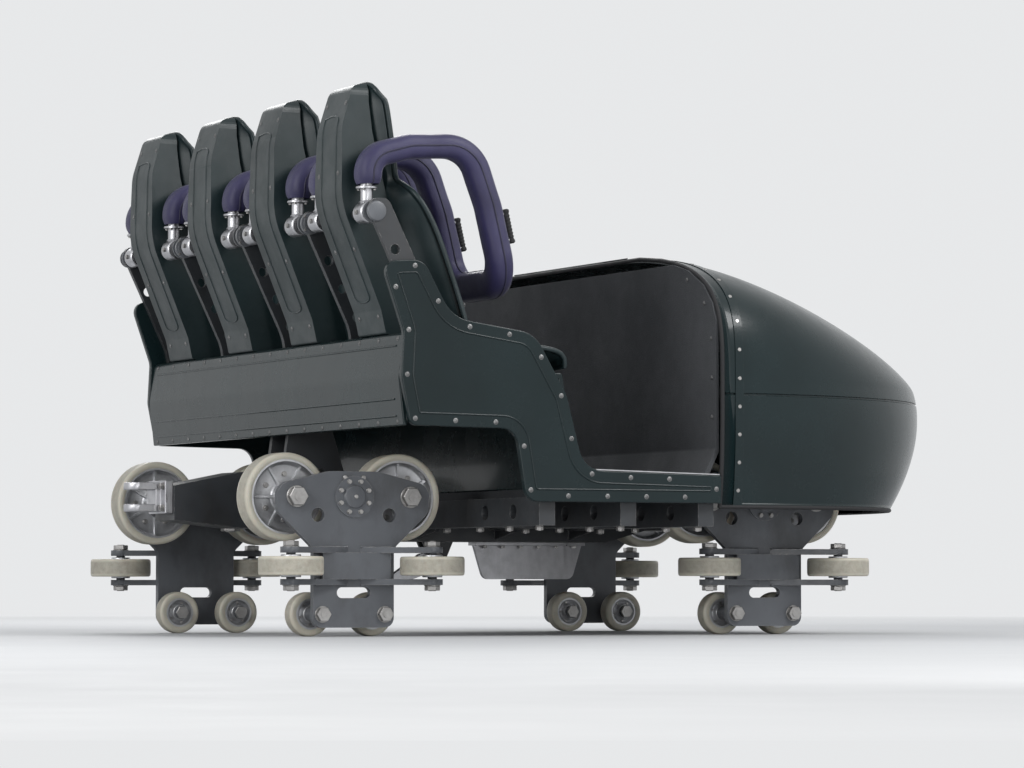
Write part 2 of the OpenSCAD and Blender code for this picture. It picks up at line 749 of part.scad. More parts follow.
// Fairings at both sides, from the sill to behind the outer seats, open over the rear wheels
module side_fairings() {
    r = rear_axle_x;
    sill_z = axle_z - 20;
    x1 = hood_x - 4;
    color(black)
        for (s = [0, 1])
            mirror([0, s, 0])
                side_plate(body_half_w - fairing_t, fairing_t)
                    polygon(rounded([
                        [x1, sill_z, 0], [x1, floor_z + 48, 10], [r + 655, floor_z + 60, 90],
                        [r + 590, pan_z - 90, 110], [r + 470, pan_z + 115, 110], [r + 165, pan_z + 160, 130],
                        [r + 60, pan_z + 350, 60], [r - 92, pan_z + 340, 40], [r - 12, cover_low, 70],
                        [r - 20, belly_z, 90], [r + 12, panel_low, 30], [r + 400, panel_low - 6, 60],
                        [r + 440, sill_z, 50]
                    ]));
}

// Tow hitch at the tail: a clevis for the next car's drawbar
hitch_gap = 50;
hitch_ear_t = 26;
hitch_x = tail_x + 42;

module tow_hitch() {
    h = hitch_gap + 2 * hitch_ear_t;
    z0 = axle_z + 8 - h / 2;
    color(steel)
        difference() {
            union() {
                translate([0, 0, z0])
                    linear_extrude(h) {
                        translate([hitch_x, 0]) circle(r = 42);
                        translate([hitch_x, -42]) square([tail_x + 150 - seat_gap - hitch_x, 84]);
                    }
                translate([tail_x + 120, -80, z0 - 6])
                    cube([30 - seat_gap, 160, h + 12]);
            }
            translate([tail_x - 1, -100, z0 + hitch_ear_t]) cube([101, 200, hitch_gap]);
            translate([hitch_x, 0, z0 - 1]) cylinder(r = tow_pin_r, h = h + 2);
        }
}

// Fin that the track's brakes grip
fin_x0 = rear_axle_x + 790;
fin_x1 = front_axle_x - 360;
fin_low = spine_low - 134;
foot_t = 12;

module brake_fin() {
    top = spine_low - seat_gap;
    color(steel) {
        translate([fin_x0, -34, top - foot_t]) cube([fin_x1 - fin_x0, 68, foot_t]);
        side_plate(-7, 14)
            polygon(rounded([
                [fin_x0, top - foot_t / 2, 0], [fin_x0 + 40, fin_low, 30], [fin_x1 - 40, fin_low, 30],
                [fin_x1, top - foot_t / 2, 0]
            ]));
    }
}

dog_x = rear_axle_x + 640;
dog_z = spine_low - 62;
dog_pin_r = 12;

// Dog that drops into the lift's ratchet, on a pin under the spine
module rollback_dog() {
    color(steel)
        difference() {
            side_plate(-12, 24)
                polygon(rounded([
                    [dog_x + 30, dog_z + 24, 22], [dog_x + 24, dog_z - 34, 20], [dog_x - 150, dog_z - 92, 6],
                    [dog_x - 176, dog_z - 60, 6], [dog_x - 60, dog_z + 20, 30]
                ]));
            y_pin(dog_x, dog_z, -20, 20, dog_pin_r + run_fit);
        }
}

module dog_bracket() {
    color(dark_steel) {
        for (s = [-1, 1])
            side_plate(s * 23 - 6, 12)
                polygon(rounded([
                    [dog_x - 60, spine_low + 1, 0], [dog_x - 22, dog_z - 22, 20], [dog_x + 22, dog_z - 22, 20],
                    [dog_x + 60, spine_low + 1, 0]
                ]));
        y_pin(dog_x, dog_z, -30, 30, dog_pin_r);
    }
}

// Restraint path from the foam's start behind the shoulder to the chest:
// [distance ahead of the shaft, height above it, radius of the bend]
COLLAR_TABLE = [[5, 95, 0], [4, 186, 76], [146, 226, 100], [372, 238, 120], [444, 40, 220], [482, -118, 0]];
COLLAR_PATH = [for (c = COLLAR_TABLE) [shaft_x + c[0], shaft_z + c[1], c[2]]];
collar_bottom_r = 100;

function open_rounded(c, steps) = let (
        n = len(c)
    ) [for (i = [0 : n - 1])
        each (i == 0 || i == n - 1)
            ? [[c[i][0], c[i][1]]]
            : let (
                p = [c[i][0], c[i][1]],
                va = unit2([c[i - 1][0], c[i - 1][1]] - p),
                vb = unit2([c[i + 1][0], c[i + 1][1]] - p),
                half = acos(va * vb) / 2,
                r = c[i][2],
                o = p + unit2(va + vb) * r / sin(half),
                t0 = p + va * r / tan(half),
                t1 = p + vb * r / tan(half),
                a0 = atan2(t0[1] - o[1], t0[0] - o[0]),
                a1 = atan2(t1[1] - o[1], t1[0] - o[0]),
                turn = (a1 - a0 + 540) % 360 - 180
            )
            [for (s = [0 : steps]) o + r * [cos(a0 + turn * s / steps), sin(a0 + turn * s / steps)]]];

collar_leg = open_rounded(COLLAR_PATH, 3);

// Stations of one half of the collar, each [point, tangent, normal], from a shoulder's back to the lap
function leg_stations(side) = [
    for (i = [0 : len(collar_leg) - 1]) let (
            n = len(collar_leg),
            d = unit2(collar_leg[min(i + 1, n - 1)] - collar_leg[max(i - 1, 0)])
        )
        [[collar_leg[i][0], side * shoulder_y, collar_leg[i][1]], [d[0], 0, d[1]], [-d[1], 0, d[0]]]
];
function bottom_stations(side) = let (
        n = len(collar_leg),
        e = collar_leg[n - 1],
        d = unit2(e - collar_leg[n - 2]),
        r = collar_bottom_r
    ) [for (q = [22.5 : 22.5 : 90])
        [
            [e[0] + d[0] * r * sin(q), side * (shoulder_y - r + r * cos(q)), e[1] + d[1] * r * sin(q)],
            [d[0] * cos(q), -side * sin(q), d[1] * cos(q)],
            [-d[1], 0, d[0]]
        ]];

function reversed(v) = [for (i = [len(v) - 1 : -1 : 0]) v[i]];
function turned(v) = [for (s = v) [s[0], -s[1], s[2]]];

collar_stations = concat(
    leg_stations(1), bottom_stations(1), turned(reversed(bottom_stations(-1))), turned(reversed(leg_stations(-1)))
);

function collar_ring(s, w, t) = let (
        across = cross(s[1], s[2])
    ) [for (j = [0 : 11]) let (q = 30 * j, c = cos(q), n = sin(q))
        s[0] + across * (w / 2 * sign(c) * pow(abs(c), 0.75)) + s[2] * (t / 2 * sign(n) * pow(abs(n), 0.75))];

hub_w = 70;
hub_r = shaft_r + 16;
arm_r = 21;
grip_r = 13;
grip_l = 118;
stem_r = 10;
chest_end = collar_leg[len(collar_leg) - 1];

module restraint() {
    color(violet) swept([for (s = collar_stations) collar_ring(s, collar_w, collar_t)]);
    color(steel)
        for (s = [-1, 1]) {
            difference() {
                union() {
                    y_pin(shaft_x, shaft_z, s * shoulder_y - hub_w / 2, s * shoulder_y + hub_w / 2, hub_r);
                    translate([shaft_x, s * shoulder_y, shaft_z])
                        cylinder(r = arm_r, h = COLLAR_TABLE[0][1] + 17);
                }
                y_pin(shaft_x, shaft_z, s * shoulder_y - hub_w, s * shoulder_y + hub_w, shaft_r + run_fit);
            }
            // Hand grip in front of the chest pad, on two stems
            translate([chest_end[0], s * shoulder_y, chest_end[1]])
                rotate([0, -13, 0]) {
                    translate([collar_t / 2 + 16, 0, 22]) cylinder(r = grip_r, h = grip_l);
                    for (z = [34, 22 + grip_l - 12])
                        translate([0, 0, z]) rotate([0, 90, 0]) cylinder(r = stem_r, h = collar_t / 2 + 16);
                }
        }
}

module place(corner) {
    translate([corner[1], 0, 0]) mirror([0, corner[2], 0]) children();
}

union() {
    chassis();
    dog_bracket();
}
axles();
floor_pan();
nose_hood();
seat_frame();
seat_plinth();
seat_shells();
seat_pads();
headrest_pads();
back_covers();
rear_fairing();
side_fairings();
tow_hitch();
brake_fin();
rollback_dog();
for (c = CORNERS) {
    place(c) knuckle();
    place(c) bogie();
    for (k = [1, 2]) {
        s = 3 - 2 * k;
        place(c) road_wheel(s);
        place(c) guide_wheel(s);
        place(c) stop_wheel(s);
    }
}
for (k = [0 : 3])
    translate([0, SEATS[k], 0]) restraint();
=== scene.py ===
"""Looks of a roller coaster's lead car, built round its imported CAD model, and the stage that it stands on.

Metres, with +X forward, +Y to the car's left and +Z up. The car stands on its up-stop wheels at z = 0.
"""

from math import acos, atan2, cos, exp, pi, radians, sin, tan

import json

import bpy
from mathutils import Matrix, Vector, noise


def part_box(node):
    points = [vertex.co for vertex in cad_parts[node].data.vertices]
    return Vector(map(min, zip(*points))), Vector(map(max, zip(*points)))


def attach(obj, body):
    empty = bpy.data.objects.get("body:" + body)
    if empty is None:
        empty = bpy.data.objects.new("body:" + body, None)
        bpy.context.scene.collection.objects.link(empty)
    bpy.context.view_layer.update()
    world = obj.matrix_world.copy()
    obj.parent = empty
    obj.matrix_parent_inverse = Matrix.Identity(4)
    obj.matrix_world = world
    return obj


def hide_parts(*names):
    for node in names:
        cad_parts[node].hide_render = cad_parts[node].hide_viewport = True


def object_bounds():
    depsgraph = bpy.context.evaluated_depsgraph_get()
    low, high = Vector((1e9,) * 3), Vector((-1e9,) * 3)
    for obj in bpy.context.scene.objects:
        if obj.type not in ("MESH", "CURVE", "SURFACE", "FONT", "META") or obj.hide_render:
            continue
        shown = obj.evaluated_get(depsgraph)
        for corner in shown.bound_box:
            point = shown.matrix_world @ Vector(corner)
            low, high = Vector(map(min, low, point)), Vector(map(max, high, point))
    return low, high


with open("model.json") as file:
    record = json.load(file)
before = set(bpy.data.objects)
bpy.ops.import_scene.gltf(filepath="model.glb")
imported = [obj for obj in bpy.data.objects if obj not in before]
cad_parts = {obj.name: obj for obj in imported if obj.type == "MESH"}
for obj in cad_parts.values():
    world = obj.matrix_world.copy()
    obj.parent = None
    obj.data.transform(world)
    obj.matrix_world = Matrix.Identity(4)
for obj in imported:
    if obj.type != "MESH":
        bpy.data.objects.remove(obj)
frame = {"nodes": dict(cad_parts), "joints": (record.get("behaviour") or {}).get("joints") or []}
cad_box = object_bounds()
JOINT_OF = {j["child"]: j for j in frame["joints"]}
CORNERS = ("fl", "fr", "rl", "rr")
X, Y, Z = Vector((1, 0, 0)), Vector((0, 1, 0)), Vector((0, 0, 1))


def joint_point(body):
    """Where the joint of a body is, at rest."""
    return Vector(JOINT_OF[body]["pos_m"])


# Sizes that the pieces share with the CAD model
SEAT_Y = [joint_point(f"restraint_{k}").y for k in (1, 2, 3, 4)]
SHAFT = joint_point("restraint_1")
SHAFT_OVER_PAN = 0.505
SHAFT_BEHIND_AXLE = 0.103
REAR_X = SHAFT.x + SHAFT_BEHIND_AXLE
FRONT_X = joint_point("knuckle_fl").x
PAN_Z = SHAFT.z - SHAFT_OVER_PAN
AXLE_Z = joint_point("bogie_fl").z
RAIL_Y = joint_point("bogie_fl").y
SEAT_HALF_W = 0.264
SHELL_T = 0.014
SOFT_GAP = 0.0004


# Materials


def add_node(tree, kind, inputs=None, **settings):
    """A new node. Each of its inputs takes a socket to link, a number, or a colour's three numbers."""
    made = tree.nodes.new("ShaderNode" + kind)
    for key, value in settings.items():
        setattr(made, key, value)
    for key, value in (inputs or {}).items():
        socket = made.inputs[key]
        if isinstance(value, bpy.types.NodeSocket):
            tree.links.new(value, socket)
        else:
            socket.default_value = (*value, 1) if socket.type == "RGBA" else value
    return made


class Finish:
    """A node material on one Principled shader. Most methods add a node and return its output socket."""

    def __init__(self, name, **sockets):
        self.material = bpy.data.materials.new(name)
        self.material.use_nodes = True
        self.tree = self.material.node_tree
        self.shader = self.tree.nodes["Principled BSDF"]
        self.place = self.out("TexCoord", "Object")
        for socket, value in sockets.items():
            self.shader.inputs[socket.replace("_", " ")].default_value = value

    def out(self, kind, output, inputs=None, **settings):
        return add_node(self.tree, kind, inputs, **settings).outputs[output]

    def noise(self, scale, detail=4.0, roughness=0.55, place=None):
        inputs = {"Vector": place or self.place, "Scale": scale, "Detail": detail, "Roughness": roughness}
        return self.out("TexNoise", "Fac", inputs)

    def cells(self, scale):
        return self.out("TexVoronoi", "Distance", {"Vector": self.place, "Scale": scale})

    def stretched(self, *scale):
        """The place with each axis scaled, for brushed and streaked finishes."""
        return self.out("Mapping", "Vector", {"Vector": self.place, "Scale": scale})

    def band(self, value, low, high, to_low=0.0, to_high=1.0):
        """value mapped from low..high to to_low..to_high, and held at the ends."""
        inputs = {"Value": value, "From Min": low, "From Max": high, "To Min": to_low, "To Max": to_high}
        return self.out("MapRange", "Result", inputs)

    def math(self, operation, a, b=0.0):
        return self.out("Math", "Value", {0: a, 1: b}, operation=operation)

    def times(self, a, b):
        return self.math("MULTIPLY", a, b)

    def mix(self, share, a, b):
        return self.out("Mix", 2, {0: share, 6: a, 7: b}, data_type="RGBA")

    def clouded(self, base, scale, detail, low, high):
        """The base colour in soft clouds, from low to high times as bright."""
        return self.mix(self.band(self.noise(scale, detail), 0.3, 0.7), scaled(base, low), scaled(base, high))

    def edges(self, radius, low=0.02, high=0.12):
        """1 along the object's sharp edges and 0 on its faces."""
        soft = self.out("Bevel", "Normal", {"Radius": radius}, samples=4)
        sharp = self.out("NewGeometry", "Normal")
        dot = self.out("VectorMath", "Value", {0: soft, 1: sharp}, operation="DOT_PRODUCT")
        return self.band(dot, 1 - high, 1 - low, 1.0, 0.0)

    def upward(self):
        """1 on faces that look up and 0 on walls."""
        z = self.out("SeparateXYZ", "Z", {0: self.out("NewGeometry", "Normal")})
        return self.band(z, 0.2, 0.95)

    def bump(self, height, distance, strength, normal=None):
        inputs = {"Height": height, "Distance": distance, "Strength": strength}
        if normal:
            inputs["Normal"] = normal
        return self.out("Bump", "Normal", inputs)

    def use(self, socket, value):
        self.tree.links.new(value, self.shader.inputs[socket])

    def done(self, colour, roughness, normal):
        """The material, with what every finish sets linked up."""
        self.use("Base Color", colour)
        self.use("Roughness", roughness)
        self.use("Normal", normal)
        return self.material


def scaled(colour, share):
    return tuple(c * share for c in colour)


def panel_gloss():
    """Dark teal gel coat with a clear coat, worn edges and a little dust on what looks up."""
    f = Finish("panel_gloss", Coat_Weight=0.22, Coat_Roughness=0.08, Specular_IOR_Level=0.22)
    colour = f.clouded((0.0065, 0.0150, 0.0165), 2.2, 3, 0.82, 1.2)
    dust = f.times(f.upward(), f.band(f.noise(7, 8, 0.7), 0.42, 0.78, 0, 0.12))
    colour = f.mix(dust, colour, (0.16, 0.15, 0.135))
    wear = f.times(f.edges(0.003), f.band(f.noise(28, 6, 0.7), 0.45, 0.62, 0, 0.5))
    colour = f.mix(wear, colour, (0.06, 0.075, 0.078))
    rubbed = f.band(f.noise(4.5, 9, 0.72), 0.35, 0.7, 0.23, 0.31)
    fine = f.bump(f.noise(260, 2), 0.0003, 0.25, f.bump(f.noise(9, 2), 0.0022, 0.35))
    return f.done(colour, f.math("ADD", rubbed, f.times(dust, 1.5)), fine)


def shell_gloss():
    """Moulded shell of the seats: the same dark teal, less shiny, with a fine moulded grain."""
    f = Finish("shell_gloss", Coat_Weight=0.12, Coat_Roughness=0.32, Specular_IOR_Level=0.32)
    rubbed = f.band(f.noise(11, 6, 0.65), 0.4, 0.68)
    colour = f.clouded((0.0072, 0.0165, 0.0180), 3, 3, 0.8, 1.25)
    colour = f.mix(f.times(rubbed, 0.2), colour, (0.045, 0.055, 0.06))
    grain = f.bump(f.cells(520), 0.0003, 0.35)
    return f.done(colour, f.band(rubbed, 0, 1, 0.43, 0.33), f.bump(f.noise(14, 2), 0.002, 0.2, grain))


def skin(name, base, grain_scale, rough):
    """Textured vinyl or foam skin, with creases, a leather-like grain and parts rubbed smooth."""
    f = Finish(name, Sheen_Weight=0.12, Sheen_Roughness=0.45, Specular_IOR_Level=0.4)
    rubbed = f.band(f.noise(8, 5, 0.6), 0.4, 0.66)
    colour = f.mix(f.times(rubbed, 0.22), f.clouded(base, 4.5, 4, 0.78, 1.22), scaled(base, 1.9))
    pores = f.cells(grain_scale)
    colour = f.mix(f.band(pores, 0.0, 0.35, 0.28, 0.0), colour, scaled(base, 0.4))
    creases = f.bump(f.noise(34, 5, 0.6, f.stretched(1, 0.45, 1)), 0.0022, 0.3)
    return f.done(colour, f.band(rubbed, 0, 1, rough, rough - 0.16), f.bump(pores, 0.0007, 0.6, creases))


def paint(name, base, rough, wear=0.75, grime=0.5):
    """Sprayed machine paint, chipped to bare steel along the edges, with grease and dust in broad patches."""
    f = Finish(name, Specular_IOR_Level=0.5)
    grease = f.band(f.noise(6, 9, 0.68, f.stretched(1, 1, 0.55)), 0.47, 0.72, 0, grime)
    colour = f.mix(grease, f.clouded(base, 3.5, 4, 0.84, 1.15), (0.022, 0.018, 0.014))
    dust = f.times(f.upward(), f.band(f.noise(12, 8, 0.7), 0.4, 0.75, 0.04, 0.3))
    colour = f.mix(dust, colour, (0.2, 0.185, 0.16))
    chips = f.times(f.edges(0.0035), f.band(f.noise(55, 6, 0.7), 0.46, 0.56, 0, wear))
    f.use("Metallic", f.times(chips, 0.85))
    roughness = f.band(f.noise(16, 6), 0.3, 0.7, rough - 0.07, rough + 0.12)
    return f.done(f.mix(chips, colour, (0.33, 0.32, 0.31)), roughness, f.bump(f.noise(240, 3), 0.0005, 0.3))


def metal(name, base, rough, along=(1, 1, 1), pitted=0.3):
    """Bare or plated metal, brushed along the axis with the smallest scale."""
    f = Finish(name, Metallic=1.0)
    brushed = f.noise(70, 6, 0.6, f.stretched(*along))
    stain = f.band(f.noise(14, 7, 0.7), 0.42, 0.7)
    colour = f.mix(brushed, scaled(base, 0.8), scaled(base, 1.12))
    colour = f.mix(f.times(stain, pitted), colour, scaled(base, 0.42))
    roughness = f.math("ADD", f.band(brushed, 0.3, 0.7, rough - 0.06, rough + 0.1), f.times(stain, 0.14))
    return f.done(colour, roughness, f.bump(brushed, 0.0004, 0.35))


def urethane(name, width):
    """Cast polyurethane tread: a dirtier running band with scuffs, and clean sides. Z is the wheel's axis."""
    base = (0.56, 0.53, 0.44)
    f = Finish(name, Specular_IOR_Level=0.45, Subsurface_Weight=0.05)
    axial = f.math("ABSOLUTE", f.out("SeparateXYZ", "Z", {0: f.place}))
    running = f.band(axial, width * 0.30, width * 0.42, 1.0, 0.0)
    scuffs = f.noise(40, 8, 0.72)
    mottled = f.mix(f.band(f.noise(9, 5), 0.35, 0.68), scaled(base, 0.9), scaled(base, 1.06))
    dirt = f.times(running, f.band(scuffs, 0.32, 0.66, 0.25, 0.62))
    colour = f.mix(dirt, mottled, (0.17, 0.155, 0.13))
    return f.done(colour, f.band(running, 0, 1, 0.38, 0.55), f.bump(scuffs, 0.0007, 0.35))


def grit(name, base):
    """Floor coating with embedded grit, worn thin where feet stand."""
    f = Finish(name, Specular_IOR_Level=0.4)
    grains = f.cells(420)
    worn = f.band(f.noise(3.2, 7, 0.7), 0.4, 0.7)
    colour = f.mix(f.band(grains, 0.0, 0.5), scaled(base, 1.3), scaled(base, 0.75))
    colour = f.mix(f.times(worn, 0.12), colour, scaled(base, 1.8))
    return f.done(colour, f.band(worn, 0, 1, 0.85, 0.68), f.bump(grains, 0.0009, 0.7))


def rubber(name, base):
    """Matte black rubber, greyed by dust."""
    f = Finish(name, Specular_IOR_Level=0.35)
    bloom = f.band(f.noise(18, 7, 0.7), 0.4, 0.7)
    colour = f.mix(f.times(bloom, 0.4), base, scaled(base, 3.2))
    return f.done(colour, f.band(bloom, 0, 1, 0.62, 0.82), f.bump(f.noise(330, 3), 0.0004, 0.4))


VIOLET = (0.0225, 0.0200, 0.0600)
GLOSS = panel_gloss()
SHELL = shell_gloss()
VINYL = skin("pad_vinyl", VIOLET, 430, 0.56)
FOAM = skin("harness_skin", scaled(VIOLET, 1.18), 620, 0.5)
PIPING = skin("piping_vinyl", scaled(VIOLET, 0.55), 700, 0.5)
DARK_PAINT = paint("chassis_paint", (0.030, 0.033, 0.037), 0.42)
GREY_PAINT = paint("bogie_paint", (0.105, 0.112, 0.124), 0.4)
STEEL = metal("plated_steel", (0.52, 0.52, 0.54), 0.33, (1, 1, 0.15))
BOLT_STEEL = metal("bolt_steel", (0.42, 0.41, 0.40), 0.36, pitted=0.5)
SCREW_STEEL = metal("blackened_screws", (0.20, 0.20, 0.20), 0.42, pitted=0.4)
CAST = metal("cast_aluminium", (0.56, 0.565, 0.58), 0.42, pitted=0.35)
FLOOR_GRIT = grit("floor_grit", (0.055, 0.058, 0.063))
RUBBER = rubber("black_rubber", (0.012, 0.012, 0.013))


# Mesh building


def even(steps, low, high):
    """Numbers from low to high in even steps, both ends included."""
    return [low + (high - low) * k / steps for k in range(steps + 1)]


def at_y(p, y=0.0):
    """A point or direction given in X and Z, as a vector at y."""
    return Vector((p.x, y, p.y))


def basis(axis):
    """Three unit vectors: the axis and two at right angles to it."""
    a = axis.normalized()
    u = a.cross(Z if abs(a.z) < 0.9 else X).normalized()
    return a, u, a.cross(u)


def ring(u, v, radius, count, phase=0.0):
    """Places round a circle in the plane of u and v, from its middle. phase is a share of a step."""
    turns = [2 * pi * (k + phase) / count for k in range(count)]
    return [(u * cos(q) + v * sin(q)) * radius for q in turns]


def flipped(rows):
    return [list(reversed(row)) for row in rows]


def mirrored(points):
    """The points on the other side of the plane y = 0, last one first."""
    return [Vector((p.x, -p.y, p.z)) for p in reversed(points)]


def add_object(name, data):
    obj = bpy.data.objects.new(name, data)
    bpy.context.scene.collection.objects.link(obj)
    return obj


class Build:
    """Points and faces of one piece. Each face has the number of its material."""

    def __init__(self):
        self.points, self.faces, self.mats = [], [], []

    def grid(self, rows, mat=0, wrap=False, loop=False, caps=False):
        """A sheet through rows of points. wrap closes each row, loop joins the last row to the first."""
        n, m = len(rows), len(rows[0])
        faces = []
        for i in range(n if loop else n - 1):
            for j in range(m if wrap else m - 1):
                k, j1 = (i + 1) % n * m, (j + 1) % m
                faces.append([i * m + j, i * m + j1, k + j1, k + j])
        if caps:
            faces.append(list(range(m - 1, -1, -1)))
            faces.append([(n - 1) * m + j for j in range(m)])
        first = len(self.points)
        self.points += [Vector(p) for row in rows for p in row]
        self.faces += [[first + i for i in f] for f in faces]
        self.mats += [mat] * len(faces)

    def slab(self, front, back):
        """A sheet with a front, a back and the four rims between them."""
        self.grid(front)
        self.grid(flipped(back))
        self.grid([[f[0], b[0]] for f, b in zip(front, back)])
        self.grid([[b[-1], f[-1]] for f, b in zip(front, back)])
        self.grid([[b, f] for f, b in zip(front[0], back[0])])
        self.grid([[f, b] for f, b in zip(front[-1], back[-1])])

    def lathe(self, profile, centre, axis, mat=0, steps=48):
        """A closed ring: the profile's (radius, height) points turned about an axis."""
        a, u, v = basis(axis)
        rows = [[centre + out * r + a * h for r, h in profile] for out in ring(u, v, 1, steps)]
        self.grid(rows, mat, wrap=True, loop=True)

    def disc(self, centre, axis, radius, height, mat=0, steps=24, chamfer=0.0):
        """A solid disc or rod, with chamfered ends, its foot at the centre."""
        a, u, v = basis(axis)
        profile = [(radius, 0.0), (radius, height)]
        if chamfer:
            end_r = radius - chamfer
            profile = [(end_r, 0), (radius, chamfer), (radius, height - chamfer), (end_r, height)]
        rows = [[centre + p + a * h for p in ring(u, v, r, steps)] for r, h in profile]
        self.grid(rows, mat, wrap=True, caps=True)

    def bolt(self, centre, axis, across, height, mat=0, washer=0.0):
        """A hexagon head or nut, with a washer if its thickness is given. It sits on the centre."""
        if washer:
            self.disc(centre, axis, across * 0.62, washer, mat, 20, washer * 0.3)
        foot = centre + axis * washer
        edge = height * 0.12
        self.disc(foot, axis, across / 2 / cos(pi / 6), height, mat, 6, edge)
        self.disc(foot + axis * height, axis, across * 0.28, edge, mat, 14)

    def tube(self, path, radius, mat=0, sides=10, loop=False):
        """A round tube along a path of points."""
        path = [Vector(p) for p in path]
        n = len(path)
        side = None
        rows = []
        for i, p in enumerate(path):
            ahead = path[(i + 1) % n] if loop else path[min(i + 1, n - 1)]
            behind = path[(i - 1) % n] if loop else path[max(i - 1, 0)]
            d = (ahead - behind).normalized()
            side = basis(d)[1] if side is None else (side - d * side.dot(d)).normalized()
            rows.append([p + out for out in ring(side, d.cross(side), radius, sides)])
        self.grid(rows, mat, wrap=True, loop=loop, caps=not loop)

    def make(self, name, materials, body, slot, smooth=38):
        """The object, riding on its body. Edges sharper than smooth, in degrees, stay sharp."""
        mesh = bpy.data.meshes.new(name)
        mesh.from_pydata(self.points, [], self.faces)
        for m in materials:
            mesh.materials.append(m)
        mesh.polygons.foreach_set("material_index", self.mats)
        mesh.validate()
        obj = add_object(name, mesh)
        mesh.shade_smooth()
        mesh.set_sharp_from_angle(angle=radians(smooth))
        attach(obj, body)
        return obj


def modifier(obj, kind, **settings):
    made = obj.modifiers.new(kind.lower(), kind)
    for key, value in settings.items():
        setattr(made, key, value)


def arc_path(corners, step=radians(8)):
    """Points of an open path in X and Z whose inner corners, each (x, z, radius), are arcs."""
    points = [Vector(corners[0][:2])]
    for before, corner, after in zip(corners, corners[1:], corners[2:]):
        p, radius = Vector(corner[:2]), corner[2]
        legs = [(Vector(end[:2]) - p).normalized() for end in (before, after)]
        half = acos(max(-1, min(1, legs[0].dot(legs[1])))) / 2
        centre = p + (legs[0] + legs[1]).normalized() * radius / sin(half)
        a0, a1 = (atan2(*reversed(p + leg * radius / tan(half) - centre)) for leg in legs)
        turn = (a1 - a0 + 3 * pi) % (2 * pi) - pi
        n = max(3, round(abs(turn) / step))
        points += [centre + Vector((cos(a), sin(a))) * radius for a in even(n, a0, a0 + turn)]
    points.append(Vector(corners[-1][:2]))
    return points


def spaced(points, step):
    """The same path with points an even step apart."""
    out, carry = [points[0].copy()], 0.0
    for a, b in zip(points, points[1:]):
        length = (b - a).length
        at = step - carry
        while at < length:
            out.append(a.lerp(b, at / length))
            at += step
        carry = length - (at - step)
    out.append(points[-1].copy())
    if len(out) > 2 and (out[-1] - out[-2]).length < step * 0.3:
        out.pop(-2)
    return out


def inset(corners, d):
    """The corners, each (x, z, radius), of a closed outline moved inward by d.

    They run clockwise from X to Z.
    """
    out = []
    for i, (x, z, r) in enumerate(corners):
        p = Vector((x, z))
        e0 = (p - Vector(corners[i - 1][:2])).normalized()
        e1 = (Vector(corners[(i + 1) % len(corners)][:2]) - p).normalized()
        n0, n1 = Vector((e0.y, -e0.x)), Vector((e1.y, -e1.x))
        p += (n0 + n1) * d / (1 + n0.dot(n1))
        hollow = e0.x * e1.y - e0.y * e1.x > 0
        out.append((p.x, p.y, max(0.004, r + d if hollow else r - d)))
    return out


def closed_path(corners):
    """Points of a closed outline with round corners."""
    middle = (Vector(corners[-1][:2]) + Vector(corners[0][:2])) / 2
    return arc_path([tuple(middle), *corners, tuple(middle)])


# CAD nodes that stay: a fine bevel catches the light along their edges


def kept_nodes():
    knuckles, bogies = [[part + c for c in CORNERS] for part in ("knuckle_", "bogie_")]
    for nodes, material, slot, bevel, segments in (
        (("chassis", "seat_frame", *knuckles), DARK_PAINT, "chassis_paint", 0.003, 2),
        (("axles",), DARK_PAINT, "chassis_paint", 0.002, 2),
        (("floor_pan",), FLOOR_GRIT, "floor_plate", 0.0015, 2),
        (("seat_plinth", "rear_fairing", "side_fairings"), GLOSS, "body_shell", 0.004, 3),
        (("back_covers",), SHELL, "body_shell", 0.018, 5),
        (("tow_hitch",), STEEL, "bright_steel", 0.003, 2),
        (("brake_fin", "rollback_dog"), STEEL, "bright_steel", 0.0015, 2),
        (bogies, GREY_PAINT, "bogie_paint", 0.0025, 2),
    ):
        for node in nodes:
            obj = frame["nodes"][node]
            obj.data.materials.clear()
            obj.data.materials.append(material)
            modifier(obj, "WELD", merge_threshold=0.00002)
            modifier(obj, "DECIMATE", decimate_type="DISSOLVE", angle_limit=radians(0.6))
            modifier(obj, "BEVEL", width=bevel, segments=segments, limit_method="ANGLE",
                     angle_limit=radians(28), use_clamp_overlap=True, harden_normals=True)


# Wheels


WHEELS = {
    # width of the tread and the hub, radius of the hub and the pin's bore, bolts round the hub, their width
    "road_wheel": (0.090, 0.100, 0.044, 0.020, 6, 0.016),
    "guide_wheel": (0.064, 0.076, 0.034, 0.016, 6, 0.012),
    "stop_wheel": (0.056, 0.064, 0.028, 0.016, 5, 0.009),
}
TREAD_T = 0.022
TREADS = {kind: urethane("tread_" + kind, sizes[0]) for kind, sizes in WHEELS.items()}


def both_sides(profile):
    """A lathe's profile from z = 0 up, with its mirror image below."""
    return [*profile, *[(r, -h) for r, h in reversed(profile)]]


